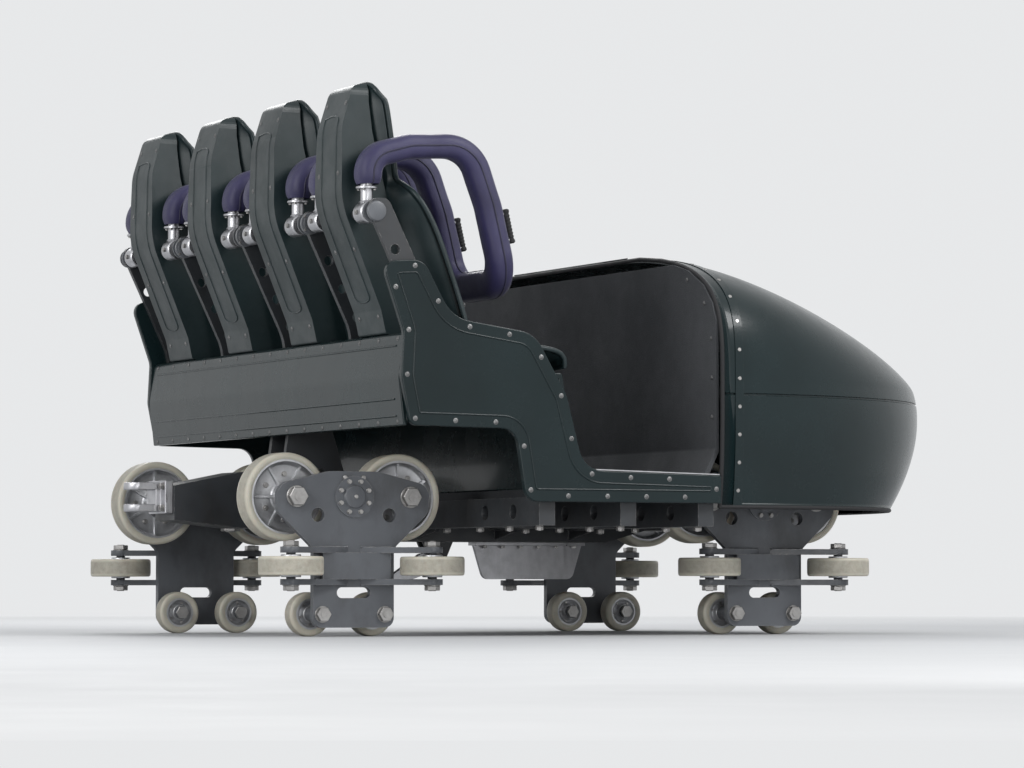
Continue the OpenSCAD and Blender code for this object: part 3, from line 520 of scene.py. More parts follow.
def wheel_shape(kind, radius):
    """A wheel about Z: tread, cast hub with a dished web and ribs, bolts, and bearing seals."""
    tread_w, hub_w, hub_r, pin_r, bolts, across = WHEELS[kind]
    half, hub_half = tread_w / 2, hub_w / 2
    rim_r = radius - TREAD_T
    web = tread_w * 0.2
    origin = Vector((0, 0, 0))
    b = Build()
    tread = [
        (rim_r - 0.0005, half * 0.95), (rim_r + 0.004, half - 0.0008), (rim_r + 0.006, half),
        (radius - 0.0075, half), (radius - 0.0035, half - 0.0015), (radius - 0.001, half - 0.005),
        (radius, half - 0.012),
    ]
    b.lathe(both_sides(tread), origin, Z, 0, 80)
    lip = half * 0.88
    hub = [
        (pin_r + 0.0004, hub_half - 0.002), (pin_r + 0.002, hub_half - 0.0005),
        (hub_r - 0.012, hub_half - 0.0005), (hub_r - 0.011, hub_half - 0.003),
        (hub_r - 0.008, hub_half - 0.003), (hub_r - 0.007, hub_half),
        (hub_r - 0.0015, hub_half), (hub_r, hub_half - 0.0015),
        (hub_r + 0.0012, web + 0.008), (hub_r + 0.0045, web + 0.002), (hub_r + 0.009, web),
        (rim_r - 0.021, web), (rim_r - 0.015, web + 0.0025), (rim_r - 0.0115, web + 0.008),
        (rim_r - 0.009, lip - 0.002), (rim_r - 0.0075, lip), (rim_r, lip),
    ]
    b.lathe(both_sides(hub), origin, Z, 1, 72)
    ribbed = kind == "road_wheel"
    rib = ((hub_r - 0.001, 0.017), (hub_r + 0.012, 0.012), (rim_r - 0.022, 0.007), (rim_r - 0.009, 0.012))
    circle_r = hub_r + 0.4 * (rim_r - hub_r) if ribbed else (hub_r + rim_r - 0.008) / 2
    for axis in (Z, -Z):
        for out in ring(X, Y, circle_r, bolts):
            b.bolt(out + axis * (web - 0.0005), axis, across, across * 0.5, 2, 0.0015)
        for out in ring(X, Y, 1, bolts, 0.5) if ribbed else ():
            foot_w, top_w = Z.cross(out) * 0.0065, Z.cross(out) * 0.0035
            rows = []
            for r, h in rib:
                foot = out * r + axis * (web - 0.001)
                top = foot + axis * h
                rows.append([foot - foot_w, top - top_w, top + top_w, foot + foot_w])
            b.grid(rows, 1, wrap=True, caps=True)
    return b


def wheels():
    """All wheels of a kind share one mesh, each turned by some quarters about its axis."""
    for kind in WHEELS:
        low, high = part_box(kind + "_fl_1")
        shape = wheel_shape(kind, (high.x - low.x) / 2)
        mesh = None
        for quarters, corner in enumerate(CORNERS):
            for k in (1, 2):
                node = f"{kind}_{corner}_{k}"
                name = node.replace("wheel_", "tyre_")
                obj = shape.make(name, [TREADS[kind], CAST, BOLT_STEEL], node, "wheel_tread")
                mesh = mesh or obj.data
                obj.data = mesh
                spin = Matrix.Rotation((quarters + k) * pi / 2, 3, "Z").to_quaternion()
                turn = Z.rotation_difference(Vector(JOINT_OF[node]["axis"])) @ spin
                obj.parent = None
                obj.matrix_world = Matrix.Translation(joint_point(node)) @ turn.to_matrix().to_4x4()
                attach(obj, node)
                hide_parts(node)


# Bogies: nuts, pin ends, the cover of the stub axle and the welds of the guide arms


CHEEK_T = 0.024
# Outer faces of the cheeks: past the rail's radius, or half of the tread, and a gap
OUTER_FACE = RAIL_Y + 0.084 + 0.020 + CHEEK_T
INNER_FACE = RAIL_Y - 0.045 - 0.050 - CHEEK_T
STOP_PIN_END = RAIL_Y - 0.032 - 0.012
GUIDE_ARM_T = 0.020
GUIDE_ARM_GAP = 0.038 + 0.006
GUIDE_ARM_WELD = (0.024, 0.142)
HUB_COVER_T = 0.009
CROSS_PLATE_RISE = 0.065
CROSS_SCREW_X = 0.034


def bogie_fasteners(corner):
    s = 1 if corner.endswith("l") else -1
    pivot = joint_point("bogie_" + corner)
    out = Y * s
    b = Build()
    for k in (1, 2):
        road, guide, stop = (joint_point(f"{kind}_{corner}_{k}") for kind in WHEELS)
        for pin, y, axis, sizes in (
            # Nut's width and height, its material's number and its washer's thickness
            (road, OUTER_FACE, out, (0.060, 0.019, 0, 0.004)),
            (road, INNER_FACE, -out, (0.060, 0.014, 0, 0.003)),
            (stop, OUTER_FACE, out, (0.046, 0.016, 0, 0.003)),
            (stop, STOP_PIN_END, -out, (0.042, 0.011)),
        ):
            b.bolt(Vector((pin.x, s * y, pin.z)), axis, *sizes)
        away = 1 if guide.x > pivot.x else -1
        for up in (1, -1):
            low, high = (guide.z + up * (GUIDE_ARM_GAP + rise) for rise in (0, GUIDE_ARM_T))
            b.bolt(Vector((guide.x, guide.y, high)), Z * up, 0.046, 0.016, 0, 0.003)
            for z in (low, high):
                ends = [(pivot.x + away * reach, s * (OUTER_FACE + 0.001), z) for reach in GUIDE_ARM_WELD]
                b.tube(ends, 0.0042, 1, 8)
    hub = Vector((pivot.x, s * (OUTER_FACE + HUB_COVER_T), pivot.z))
    cap = [(0.0, -0.001), (0.040, -0.001), (0.040, 0.003), (0.036, 0.007), (0.022, 0.009), (0.0, 0.0095)]
    b.lathe(cap, hub, out, 1, 48)
    b.disc(hub + out * 0.0085, out, 0.007, 0.006, 0, 16, 0.001)
    for place in ring(X, Z, 0.055, 8, 0.5):
        b.bolt(hub + place, out, 0.014, 0.007, 0, 0.0015)
    # Cap screws along the cheek's upper edge, into the cross plate
    for x in (-CROSS_SCREW_X, CROSS_SCREW_X):
        for y, axis in ((OUTER_FACE, out), (INNER_FACE, -out)):
            foot = Vector((pivot.x + x, s * y, pivot.z + CROSS_PLATE_RISE)) - axis * 0.001
            b.disc(foot, axis, 0.0075, 0.009, 0, 20, 0.001)
    b.make("bogie_fasteners_" + corner, [BOLT_STEEL, GREY_PAINT], "bogie_" + corner, "bright_steel", 30)


# Nose hood


NOSE_Z = 0.870
TOP_POWER, SIDE_POWER = 1.35, 3.6
PLAN_POWER = 2.1
BELLY_POWER = 0.9
HOOD_T = 0.014
HOOD_LOW_CORNER, HOOD_HIGH_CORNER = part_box("nose_hood")
HOOD_X, HOOD_LOW = HOOD_LOW_CORNER.x, HOOD_LOW_CORNER.z
HOOD_REACH = HOOD_HIGH_CORNER.x - HOOD_X
HOOD_HALF_W, HOOD_TOP = HOOD_HIGH_CORNER.y, HOOD_HIGH_CORNER.z
BELT_H = -0.10
BELT_W = 0.011
BELT_DEPTH = 0.006


def hood_power(h):
    """Power of the hood's plan curve at height share h."""
    return PLAN_POWER - BELLY_POWER * min(h, 0)


def hood_point(h, q, depth=0.0):
    """A point of the hood at height share h, -1 to 1, and plan angle q, moved inward by depth."""
    h = max(-1.0, min(1.0, h))
    if h > 0:
        z = NOSE_Z + (HOOD_TOP - NOSE_Z - depth) * h
        b = (HOOD_HALF_W - depth) * (1 - h**SIDE_POWER) ** (1 / SIDE_POWER)
        a = (HOOD_REACH - depth) * (1 - h**TOP_POWER) ** (1 / TOP_POWER)
    else:
        z = NOSE_Z + (NOSE_Z - HOOD_LOW) * h
        b = (HOOD_HALF_W - depth) * (1 - 0.02 * (-h) ** 3)
        a = (HOOD_REACH - depth) * (1 - 0.2 * (-h) ** 1.6)
    c, s, e = cos(q), sin(q), hood_power(h)
    return Vector((HOOD_X + a * max(c, 0) ** (2 / e), b * (1 if s >= 0 else -1) * abs(s) ** (2 / e), z))


def hood_side(h, x, side=1):
    """The point of the hood's side at height share h, where the plan is cut at x."""
    reach = hood_point(h, 0).x - HOOD_X
    share = min(1.0, max(0.0, (x - HOOD_X) / max(reach, 1e-6)))
    e = hood_power(h)
    half_w = hood_point(h, pi / 2).y * (1 - share**e) ** (1 / e)
    return Vector((x, side * half_w, hood_point(h, 0).z))


def hood():
    """The hood's shell, with a recessed belt line all round it, drawn finer than in the CAD model."""
    heights = [-1 + 0.045 * k for k in range(23)] + [0.015 * k for k in range(1, 8)]
    heights += [0.105 + 0.895 * (1 - (1 - k / 34) ** 1.8) for k in range(1, 34)] + [0.9985]
    heights += [BELT_H + d * BELT_W for d in (-1.6, -1, -0.55, 0.55, 1, 1.6)]
    heights = sorted({round(h, 6) for h in heights if abs(h - BELT_H) > BELT_W * 0.5} | {BELT_H})
    angles = even(112, -pi / 2, pi / 2)

    def sheet(depth, belt):
        rows = []
        for h in heights:
            groove = belt * max(0.0, 1 - (abs(h - BELT_H) / BELT_W) ** 4)
            rows.append([hood_point(h, q, depth + groove) for q in angles])
        reach = 0.4 * HOOD_HALF_W - depth
        rows.append([Vector((HOOD_X, reach * sin(q), HOOD_TOP - depth)) for q in angles])
        return rows

    b = Build()
    b.slab(sheet(HOOD_T, 0.0), sheet(0.0, BELT_DEPTH))
    obj = b.make("hood_shell", [GLOSS], "car", "body_shell", 32)
    modifier(obj, "WELD", merge_threshold=0.0004)
    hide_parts("nose_hood")


SEAL_R = 0.0075
STRIP_FROM, STRIP_TO = HOOD_X + 0.052, HOOD_X + 0.084
STRIP_T = 0.0028
RIVET_START, RIVET_STEP = 0.050, 0.095


def hood_trim():
    """Edge seal along the hood's rear rim and its lower edge, and a riveted cover strip ahead of the rim."""
    b = Build()
    right = [hood_side(h, HOOD_X, -1) for h in even(60, -1, 0.98)]
    b.tube([p + Vector((0.001, 0, -0.002)) for p in right + mirrored(right)], SEAL_R)
    b.tube([hood_point(-1, q) + Z * 0.001 for q in even(90, -pi / 2, pi / 2)], SEAL_R)
    b.make("hood_edge_seal", [RUBBER], "car", "body_shell", 50)

    def across(h, side):
        """The strip's section, from its near foot over its face to its far foot."""
        feet, faces = [], []
        for x in (STRIP_FROM, STRIP_TO):
            p = hood_side(h, x, side)
            normal = (hood_side(h + 0.002, x, side) - p).cross(X).normalized() * side
            feet.append(p - normal * 0.001)
            faces.append(p + normal * STRIP_T)
        return [feet[0], *faces, feet[1]]

    strip = Build()
    heights = even(150, -0.985, 0.98)
    for side in (1, -1):
        rows = [across(h, side) for h in heights if hood_point(h, 0).x > STRIP_TO + 0.01]
        strip.grid(rows if side > 0 else flipped(rows), 0, wrap=True, caps=True)
        centres = [(row[1] + row[2]) / 2 for row in rows]
        travel = RIVET_STEP - RIVET_START
        for row, before, centre in zip(rows[1:], centres, centres[1:]):
            travel += (centre - before).length
            if travel >= RIVET_STEP:
                travel = 0.0
                normal = (row[1] - row[0]).normalized()
                strip.disc(centre - normal * 0.0004, normal, 0.0068, 0.0022, 1, 18, 0.0009)
    strip.make("hood_joint_strip", [GLOSS, BOLT_STEEL], "car", "body_shell", 30)


# Seats


SHELL_TABLE = (
    # ahead of the rear axle, above the pan, share of the half width, height of the bolsters
    (0.600, 0.008, 0.93, 0.010), (0.578, 0.036, 0.96, 0.024), (0.510, 0.032, 1.00, 0.044),
    (0.410, 0.016, 1.00, 0.062), (0.300, 0.000, 1.00, 0.074), (0.220, 0.002, 1.00, 0.086),
    (0.168, 0.030, 1.00, 0.098), (0.142, 0.088, 1.00, 0.104), (0.116, 0.192, 0.99, 0.100),
    (0.087, 0.306, 0.97, 0.092), (0.058, 0.422, 0.95, 0.080), (0.036, 0.508, 0.92, 0.062),
    (0.022, 0.562, 0.84, 0.046), (0.013, 0.596, 0.66, 0.038), (0.006, 0.624, 0.48, 0.036),
    (-0.010, 0.690, 0.463, 0.044), (-0.030, 0.790, 0.463, 0.050), (-0.040, 0.888, 0.45, 0.044),
    (-0.038, 0.950, 0.38, 0.024),
)
LAST_ROW = len(SHELL_TABLE) - 1
TOP_ROUNDING = 0.5
TOP_FLATTENING = 0.6
SHELL_STEPS_UP, SHELL_STEPS_ACROSS = 76, 44
SHELL_EDGE_R = 0.0088


def row_at(i):
    """The shell table's row at a fractional place, on a smooth curve through its rows."""
    k = min(max(int(i), 0), LAST_ROW - 1)
    t = i - k
    p = [SHELL_TABLE[min(max(k + d, 0), LAST_ROW)] for d in (-1, 0, 1, 2)]
    return [0.5 * (2 * b + (c - a) * t + (2 * a - 5 * b + 4 * c - d) * t * t + (3 * b - a - 3 * c + d) * t**3)
            for a, b, c, d in zip(*p)]


def bolster(u):
    """Share of the bolsters' height at u across the seat."""
    return max(0.0, (abs(u) - 0.56) / 0.44) ** 1.5


def seat_point(i, u, lift, seat_y=0.0):
    """A point of the seat at row i, u from -1 to 1 across, lift in front of the shell's face.

    Past the last row but one, the bolsters flatten and the corners drop, so the headrest has a round top.
    """
    over = max(0.0, i - (LAST_ROW - 1))
    i -= TOP_ROUNDING * over * abs(u) ** 5
    x, z, w, height = row_at(i)
    step = 0.02
    x0, z0 = row_at(max(i - step, 0))[:2]
    x1, z1 = row_at(min(i + step, LAST_ROW))[:2]
    d = Vector((x1 - x0, z1 - z0)).normalized()
    front = Vector((d.y, -d.x))
    h = height * (1 - TOP_FLATTENING * over) * bolster(u) + lift
    return Vector((REAR_X + x + front.x * h, seat_y + w * SEAT_HALF_W * u, PAN_Z + z + front.y * h))


def seat_shell(number, y):
    """One seat's moulded shell with bolsters, a rolled edge and a smooth headrest."""
    rows, us = even(SHELL_STEPS_UP, 0, LAST_ROW), even(SHELL_STEPS_ACROSS, -1, 1)
    front, back = ([[seat_point(i, u, lift, y) for u in us] for i in rows] for lift in (0.0, -SHELL_T))
    b = Build()
    b.slab(front, back)
    middle = [[f.lerp(k, 0.5) for f, k in zip(*pair)] for pair in zip(front, back)]
    edge = [row[0] for row in middle] + middle[-1][1:]
    edge += [row[-1] for row in middle[-2::-1]] + middle[0][-2:0:-1]
    b.tube(edge, SHELL_EDGE_R, loop=True)
    obj = b.make(f"seat_shell_{number}", [SHELL], "car", "body_shell", 40)
    modifier(obj, "WELD", merge_threshold=0.00005)
    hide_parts("seat_shells")


PADS = {
    # first and last row of the shell, thickness, places of the sewn channels along the rows, node
    "seat_cushion": (2.0, 5.0, 0.040, (0.36, 0.68), "seat_pads"),
    "back_cushion": (7.0, 12.0, 0.040, (0.2, 0.4, 0.6, 0.8), "seat_pads"),
    "head_cushion": (14.0, 17.0, 0.034, (0.5,), "headrest_pads"),
}
PAD_SPAN = 0.5
PAD_STEPS_ALONG, PAD_STEPS_ACROSS = 84, 46
PIPING_LIFT, PIPING_R = 0.0075, 0.0042


def peak(value, place, width):
    """1 where the value is at the place, falling to 0 on both sides of it."""
    return exp(-(((value - place) / width) ** 2))


def pad_thickness(s, u, thickness, channels):
    """Thickness of a pad at s and u, both from -1 to 1: rolled at the edges and pinched in its channels."""
    roll = (max(0.0, 1 - abs(s) ** 7) ** 0.42) * (max(0.0, 1 - abs(u) ** 7) ** 0.42)
    crown = 1.0 + 0.10 * (1 - s * s) * (1 - u * u)
    pinch = sum(0.30 * peak((s + 1) / 2, place, 0.022) for place in channels)
    side_seam = 0.16 * peak(abs(u), 0.62, 0.035)
    return thickness * 0.94 * roll * crown * (1 - pinch * (1 - abs(u) ** 6)) * (1 - side_seam)


def eased(steps):
    """Places from -1 to 1, closer together towards both ends."""
    return [max(-1.0, min(1.0, 1.12 * t - 0.12 * t**3)) for t in even(steps, -1, 1)]


def cushion(kind, number, y):
    """A pad with its piping. s runs from -1 to 1 along the pad and u across it."""
    first, last, thickness, channels, node = PADS[kind]

    def on_seat(s, u, lift):
        return seat_point(first + (last - first) * (s + 1) / 2, u * PAD_SPAN, lift, y)

    top, base = [], []
    for s in eased(PAD_STEPS_ALONG):
        top.append([])
        base.append([])
        for u in eased(PAD_STEPS_ACROSS):
            corner = 1 - 0.035 * (abs(s) ** 8) * (abs(u) ** 8)
            t = pad_thickness(s, u, thickness, channels)
            p = on_seat(s, u * corner, SOFT_GAP + t)
            if t > 0.004:
                crease = noise.noise(Vector((p.x * 16, (p.y - y) * 9 + number * 7, p.z * 16)))
                p += (on_seat(s, u, 1.0) - on_seat(s, u, 0.0)) * crease * 0.0012
            top[-1].append(p)
            base[-1].append(on_seat(s, u * corner, SOFT_GAP))
    b = Build()
    b.grid(top)
    b.grid(flipped(base))
    border = [(s, -1) for s in even(40, -1, 1)[:-1]] + [(1, u) for u in even(24, -1, 1)[:-1]]
    border += [(-s, -u) for s, u in border]
    path = [on_seat(s * 0.985, u * 0.98, SOFT_GAP + PIPING_LIFT) for s, u in border]
    b.tube(path, PIPING_R, 1, 8, loop=True)
    obj = b.make(f"{kind}_{number}", [VINYL, PIPING], "car", "pad_skin", 60)
    modifier(obj, "WELD", merge_threshold=0.00008)
    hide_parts(node)


# Restraints


COLLAR_TABLE = (
    # ahead of the shaft, above it, radius of the bend
    (0.005, 0.095, 0), (0.004, 0.186, 0.076), (0.146, 0.226, 0.100), (0.372, 0.238, 0.120),
    (0.444, 0.040, 0.220), (0.482, -0.118, 0),
)
SHOULDER_Y = 0.190
COLLAR_W, COLLAR_T = 0.100, 0.084
COLLAR_SIDES = 40
COLLAR_LEG = spaced(arc_path(COLLAR_TABLE), 0.011)
BOTTOM_R = 0.100
BOTTOM_STEPS = 14
END_CAP = ((0.93, 0.006), (0.78, 0.010), (0.52, 0.0125), (0.2, 0.0135))
WELT_R = 0.0032
HUB_W = 0.070
ARM_TOP = COLLAR_TABLE[0][1] + 0.004
GRIP_LOW, GRIP_L, GRIP_RIBS = 0.022, 0.118, 8
GRIP_LEAN = radians(-13)


def collar_line():
    """Stations (point, tangent, normal) of the collar from one end to the other, about the seat's middle."""
    half = []
    for i, p in enumerate(COLLAR_LEG):
        d = (COLLAR_LEG[min(i + 1, len(COLLAR_LEG) - 1)] - COLLAR_LEG[max(i - 1, 0)]).normalized()
        half.append((at_y(p, SHOULDER_Y), at_y(d), Vector((-d.y, 0, d.x))))
    end, along, normal = half[-1]
    for q in even(BOTTOM_STEPS, 0, pi / 2)[1:]:
        p = end + along * BOTTOM_R * sin(q) + Y * BOTTOM_R * (cos(q) - 1)
        half.append((p, (along * cos(q) - Y * sin(q)).normalized(), normal))
    p, tangent, normal = half[-1]
    far = Vector((p.x, -p.y, p.z))
    flat = [(p.lerp(far, share), tangent, normal) for share in (0.2, 0.4, 0.6, 0.8)]
    left = [(Vector((p.x, -p.y, p.z)), Vector((-t.x, t.y, -t.z)), n) for p, t, n in reversed(half)]
    return half + flat + left


def collar_width(share):
    """Width of the foam along a leg: rounded at its end, broad on the shoulder, narrower at the neck."""
    end = min(1.0, share / 0.035)
    return (0.80 + 0.20 * (1 - (1 - end) ** 2.4)) * (1 - 0.05 * peak(share, 0.30, 0.06))


def collar(number, origin, line):
    """The foam over both shoulders and across the belly, with a welt along its inner and outer edge."""
    rows, welts = [], ([], [])
    for i, (p, t, normal) in enumerate(line):
        across = t.cross(normal).normalized()
        k = collar_width(min(i, len(line) - 1 - i) / len(line) * 2)
        row = []
        for j in range(COLLAR_SIDES):
            q = 2 * pi * j / COLLAR_SIDES
            c, s = cos(q), sin(q)
            w = COLLAR_W / 2 * k * (1 if c >= 0 else -1) * abs(c) ** 0.72
            h = COLLAR_T / 2 * k * (1 if s >= 0 else -1) * abs(s) ** 0.72
            soft = noise.noise(Vector((p.x * 13 + number * 3.1, p.y * 13, p.z * 13 + q * 0.8)))
            row.append(origin + p + across * w + normal * h + (across * c + normal * s) * soft * 0.0013)
        rows.append(row)
        for welt, side in zip(welts, (1, -1)):
            welt.append(origin + p + across * side * (COLLAR_W / 2 * k - 0.0005))

    def end_cap(station, row, side):
        middle, out = origin + station[0], station[1] * side
        return [[middle + (v - middle) * share + out * push for v in row] for share, push in END_CAP]

    # The right end takes a row from further up the leg, so it is dished where the left end is domed
    right_row = rows[-1 - len(END_CAP)]
    rows = end_cap(line[0], rows[0], -1)[::-1] + rows + end_cap(line[-1], right_row, 1)
    b = Build()
    b.grid(rows, wrap=True, caps=True)
    for welt in welts:
        b.tube(welt, WELT_R, 1, 8)
    body = f"restraint_{number}"
    obj = b.make(f"harness_pad_{number}", [FOAM, PIPING], body, "restraint_foam", 60)
    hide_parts(body)


def restraint(number, y):
    """A restraint: its foam collar, the steel hubs and arms under it, and the hand grips on its front."""
    origin = Vector((SHAFT.x, y, SHAFT.z))
    line = collar_line()
    collar(number, origin, line)
    arms, grips = Build(), Build()
    hub_profile = [
        (0.0204, 0.0), (0.032, 0.0), (0.036, 0.004), (0.036, HUB_W - 0.004), (0.032, HUB_W), (0.0204, HUB_W),
    ]
    weld_profile = [(0.020, 0.0), (0.027, 0.0), (0.0225, 0.006), (0.020, 0.006)]
    grip_end = [(0.0, 0.0), (0.009, 0.0), (0.0145, 0.004), (0.0145, 0.010)]
    places = even(GRIP_RIBS * 4, 0.012, GRIP_L - 0.012)
    ribs = [(0.0125 + 0.0012 * cos(pi / 2 * k), h) for k, h in enumerate(places)]
    grip_profile = [*grip_end, *ribs, *[(r, GRIP_L - h) for r, h in reversed(grip_end)]]
    chest = line[len(COLLAR_LEG) - 1][0]
    up = Vector((sin(GRIP_LEAN), 0, cos(GRIP_LEAN)))
    ahead = Vector((cos(GRIP_LEAN), 0, -sin(GRIP_LEAN)))
    for s in (1, -1):
        hub = origin + Y * s * SHOULDER_Y
        flange = hub + Z * (ARM_TOP - 0.020)
        arms.lathe(hub_profile, hub - Y * HUB_W / 2, Y, 0, 40)
        arms.disc(hub + Z * 0.030, Z, 0.021, ARM_TOP - 0.030, 0, 28)
        arms.lathe(weld_profile, hub + Z * 0.0335, Z, 0, 28)
        arms.disc(flange, Z, 0.036, 0.008, 0, 32, 0.0015)
        for place in ring(X, Y, 0.0285, 4, 0.5):
            arms.bolt(flange + place, -Z, 0.009, 0.005, 1)
        arms.bolt(hub - X * 0.0355, -X, 0.016, 0.007, 1)
        base = origin + Vector((chest.x, s * SHOULDER_Y, chest.z))
        grips.lathe(grip_profile, base + ahead * (COLLAR_T / 2 + 0.016) + up * GRIP_LOW, up, 0, 28)
        for rise in (0.034, GRIP_LOW + GRIP_L - 0.012):
            face = base + up * rise + ahead * COLLAR_T / 2
            arms.disc(face - ahead * 0.012, ahead, 0.0095, 0.026, 0, 20)
            arms.disc(face - ahead * 0.003, ahead, 0.017, 0.004, 0, 24, 0.001)
    body = f"restraint_{number}"
    arms.make(f"harness_arms_{number}", [STEEL, BOLT_STEEL], body, "bright_steel", 35)
    grips.make(f"harness_grips_{number}", [RUBBER], body, "restraint_foam", 50)


# Body panels: swages, screws, sill caps and floor mats


FLOOR_T = 0.030
FLOOR_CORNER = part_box("floor_pan")[0]
FLOOR_Z = FLOOR_CORNER.z + FLOOR_T
KICK_X = FLOOR_CORNER.x + 0.002
BULKHEAD_X = HOOD_X - 0.0003 - 0.012
COVER_LOW = PAN_Z + 0.110
REAR_KINK_Z = COVER_LOW - 0.150
REAR_LOW = AXLE_Z + 0.228
SCREW_R = 0.0058
SWAGE_INSET, SCREW_INSET, SCREW_STEP = 0.042, 0.020, 0.148
SIDE_CORNERS = [
    # The side fairing's outline, each corner (x, z, radius), as in the CAD model
    (HOOD_X - 0.004, AXLE_Z - 0.020, 0.0), (REAR_X + 0.440, AXLE_Z - 0.020, 0.050),
    (REAR_X + 0.400, AXLE_Z + 0.222, 0.060), (REAR_X + 0.012, REAR_LOW, 0.030),
    (REAR_X - 0.020, REAR_KINK_Z, 0.090), (REAR_X - 0.012, COVER_LOW, 0.070),
    (REAR_X - 0.092, PAN_Z + 0.340, 0.040), (REAR_X + 0.060, PAN_Z + 0.350, 0.060),
    (REAR_X + 0.165, PAN_Z + 0.160, 0.130), (REAR_X + 0.470, PAN_Z + 0.115, 0.110),
    (REAR_X + 0.590, PAN_Z - 0.090, 0.110), (REAR_X + 0.655, FLOOR_Z + 0.060, 0.090),
    (HOOD_X - 0.004, FLOOR_Z + 0.048, 0.010),
]


def screw(b, centre, out):
    """A low round screw head in a dished washer."""
    profile = [
        (0.0, -0.0012), (SCREW_R * 1.5, -0.0012), (SCREW_R * 1.5, 0.0004), (SCREW_R, 0.0012),
        (SCREW_R * 0.8, 0.0030), (SCREW_R * 0.35, 0.0034), (SCREW_R * 0.3, 0.0022), (0.0, 0.0022),
    ]
    b.lathe(profile, centre, out, 1, 18)


def side_trim():
    """A swage and screws along the edge of each side fairing, and a ribbed cap on its sill."""
    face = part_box("side_fairings")[1].y
    for s, side in ((1, "left"), (-1, "right")):
        b = Build()
        path = closed_path(inset(SIDE_CORNERS, SWAGE_INSET))[:-1]
        b.tube([at_y(p, s * (face - 0.0006)) for p in path], 0.0036, loop=True)
        for p in spaced(closed_path(inset(SIDE_CORNERS, SCREW_INSET)), SCREW_STEP)[:-1]:
            screw(b, at_y(p, s * face), Y * s)
        b.make(f"side_swage_{side}", [GLOSS, SCREW_STEEL], "car", "body_shell", 40)
        cap = Build()
        y0, y1 = sorted((s * (face - 0.026), s * (face + 0.0015)))
        section = [(y, 0.0046 if k % 2 else 0.0030) for k, y in enumerate(even(10, y0, y1))]
        section += [(y1, -0.012), (y1 - 0.0012, -0.012)]
        section += [(y, 0.0004) for y in (y1 - 0.0012, y0 + 0.0012, y0)]
        ends = ((REAR_X + 0.700, FLOOR_Z + 0.0595), (HOOD_X - 0.012, FLOOR_Z + 0.0485))
        cap.grid([[(x, y, z + h) for y, h in section] for x, z in ends], wrap=True, caps=True)
        cap.make(f"sill_cap_{side}", [CAST], "car", "bright_steel", 25)


def rear_trim():
    """Swages and screws across the panel behind the seats."""
    half_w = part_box("rear_fairing")[1].y
    b = Build()
    kink = Vector((REAR_X - 0.020, REAR_KINK_Z))
    for low, high, swages, screws in (
        # lower and upper corner of a slope, places of its swages and of its row of screws
        (Vector((REAR_X - 0.002, REAR_LOW)), kink, (0.2, 0.55), 0.08),
        (kink, Vector((REAR_X, COVER_LOW)), (0.7,), 0.86),
    ):
        d = (high - low).normalized()
        back = Vector((-d.y, 0, d.x))
        for share in swages:
            p = low.lerp(high, share)
            b.tube([at_y(p, y) - back * 0.001 for y in (half_w - 0.05, 0.05 - half_w)], 0.0038)
        p = low.lerp(high, screws)
        for y in even(14, half_w - 0.045, 0.045 - half_w):
            screw(b, at_y(p, y), back)
    b.make("rear_swages", [GLOSS, SCREW_STEEL], "car", "body_shell", 40)


MAT_HALF_W = 0.235
MAT_CORNER_R = 0.03
MAT_RIB_STEP = 0.014


def floor_mats():
    """Ribbed rubber mat in front of each seat."""
    x0, x1 = KICK_X + 0.050, HOOD_X - 0.125
    for number, y in enumerate(SEAT_Y, 1):
        b = Build()
        y0, y1 = y - MAT_HALF_W, y + MAT_HALF_W
        corners = [(*p, MAT_CORNER_R) for p in ((x0, y0), (x0, y1), (x1, y1), (x1, y0))]
        rows = []
        for d, rise in ((0, 0.0002), (0, 0.0028), (0.002, 0.0042)):
            rows.append([(p.x, p.y, FLOOR_Z + rise) for p in closed_path(inset(corners, d))[:-1]])
        b.grid(rows, wrap=True, caps=True)
        for k in range(int((x1 - x0 - 0.04) / MAT_RIB_STEP)):
            near = x0 + 0.0225 + MAT_RIB_STEP * k
            far = near + 0.007
            foot = [(near, y0 + 0.022), (far, y0 + 0.022), (far, y1 - 0.022), (near, y1 - 0.022)]
            b.grid([[(*p, FLOOR_Z + rise) for p in foot] for rise in (0.0040, 0.0068)], wrap=True, caps=True)
        b.make(f"floor_mat_{number}", [RUBBER], "car", "floor_plate", 30)


def plinth_trim():
    """Screws along the kick panel's foot."""
    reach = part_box("seat_plinth")[1].y - 0.06
    b = Build()
    for y in even(16, reach, -reach):
        screw(b, Vector((KICK_X + 0.0185, y, FLOOR_Z + 0.028)), Vector((1, 0, 0.06)))
    b.make("kick_screws", [GLOSS, SCREW_STEEL], "car", "body_shell", 40)


RIM_SCREW_INSET, RIM_SCREW_STEP = 0.050, 0.130
# The row of screws ends this far under the top of the hood
SCREWS_UNDER_TOP = 0.085


def bulkhead_trim():
    """Screws round the bulkhead, just inside the hood's rim."""
    b = Build()
    right = [hood_side(h, HOOD_X, -1) for h in even(60, -0.62, 0.88)]
    middle = Vector((HOOD_X, 0, NOSE_Z))
    rim = [p.lerp(middle, RIM_SCREW_INSET / (p - middle).length) for p in right]
    rim += mirrored(rim)
    travel = 0.0
    for before, at in zip(rim, rim[1:]):
        travel += (at - before).length
        if travel >= RIM_SCREW_STEP and at.z < HOOD_TOP - SCREWS_UNDER_TOP:
            travel = 0.0
            screw(b, Vector((BULKHEAD_X, at.y, at.z)), -X)
    b.make("bulkhead_screws", [GLOSS, SCREW_STEEL], "car", "floor_plate", 40)


# Chassis fasteners and welds


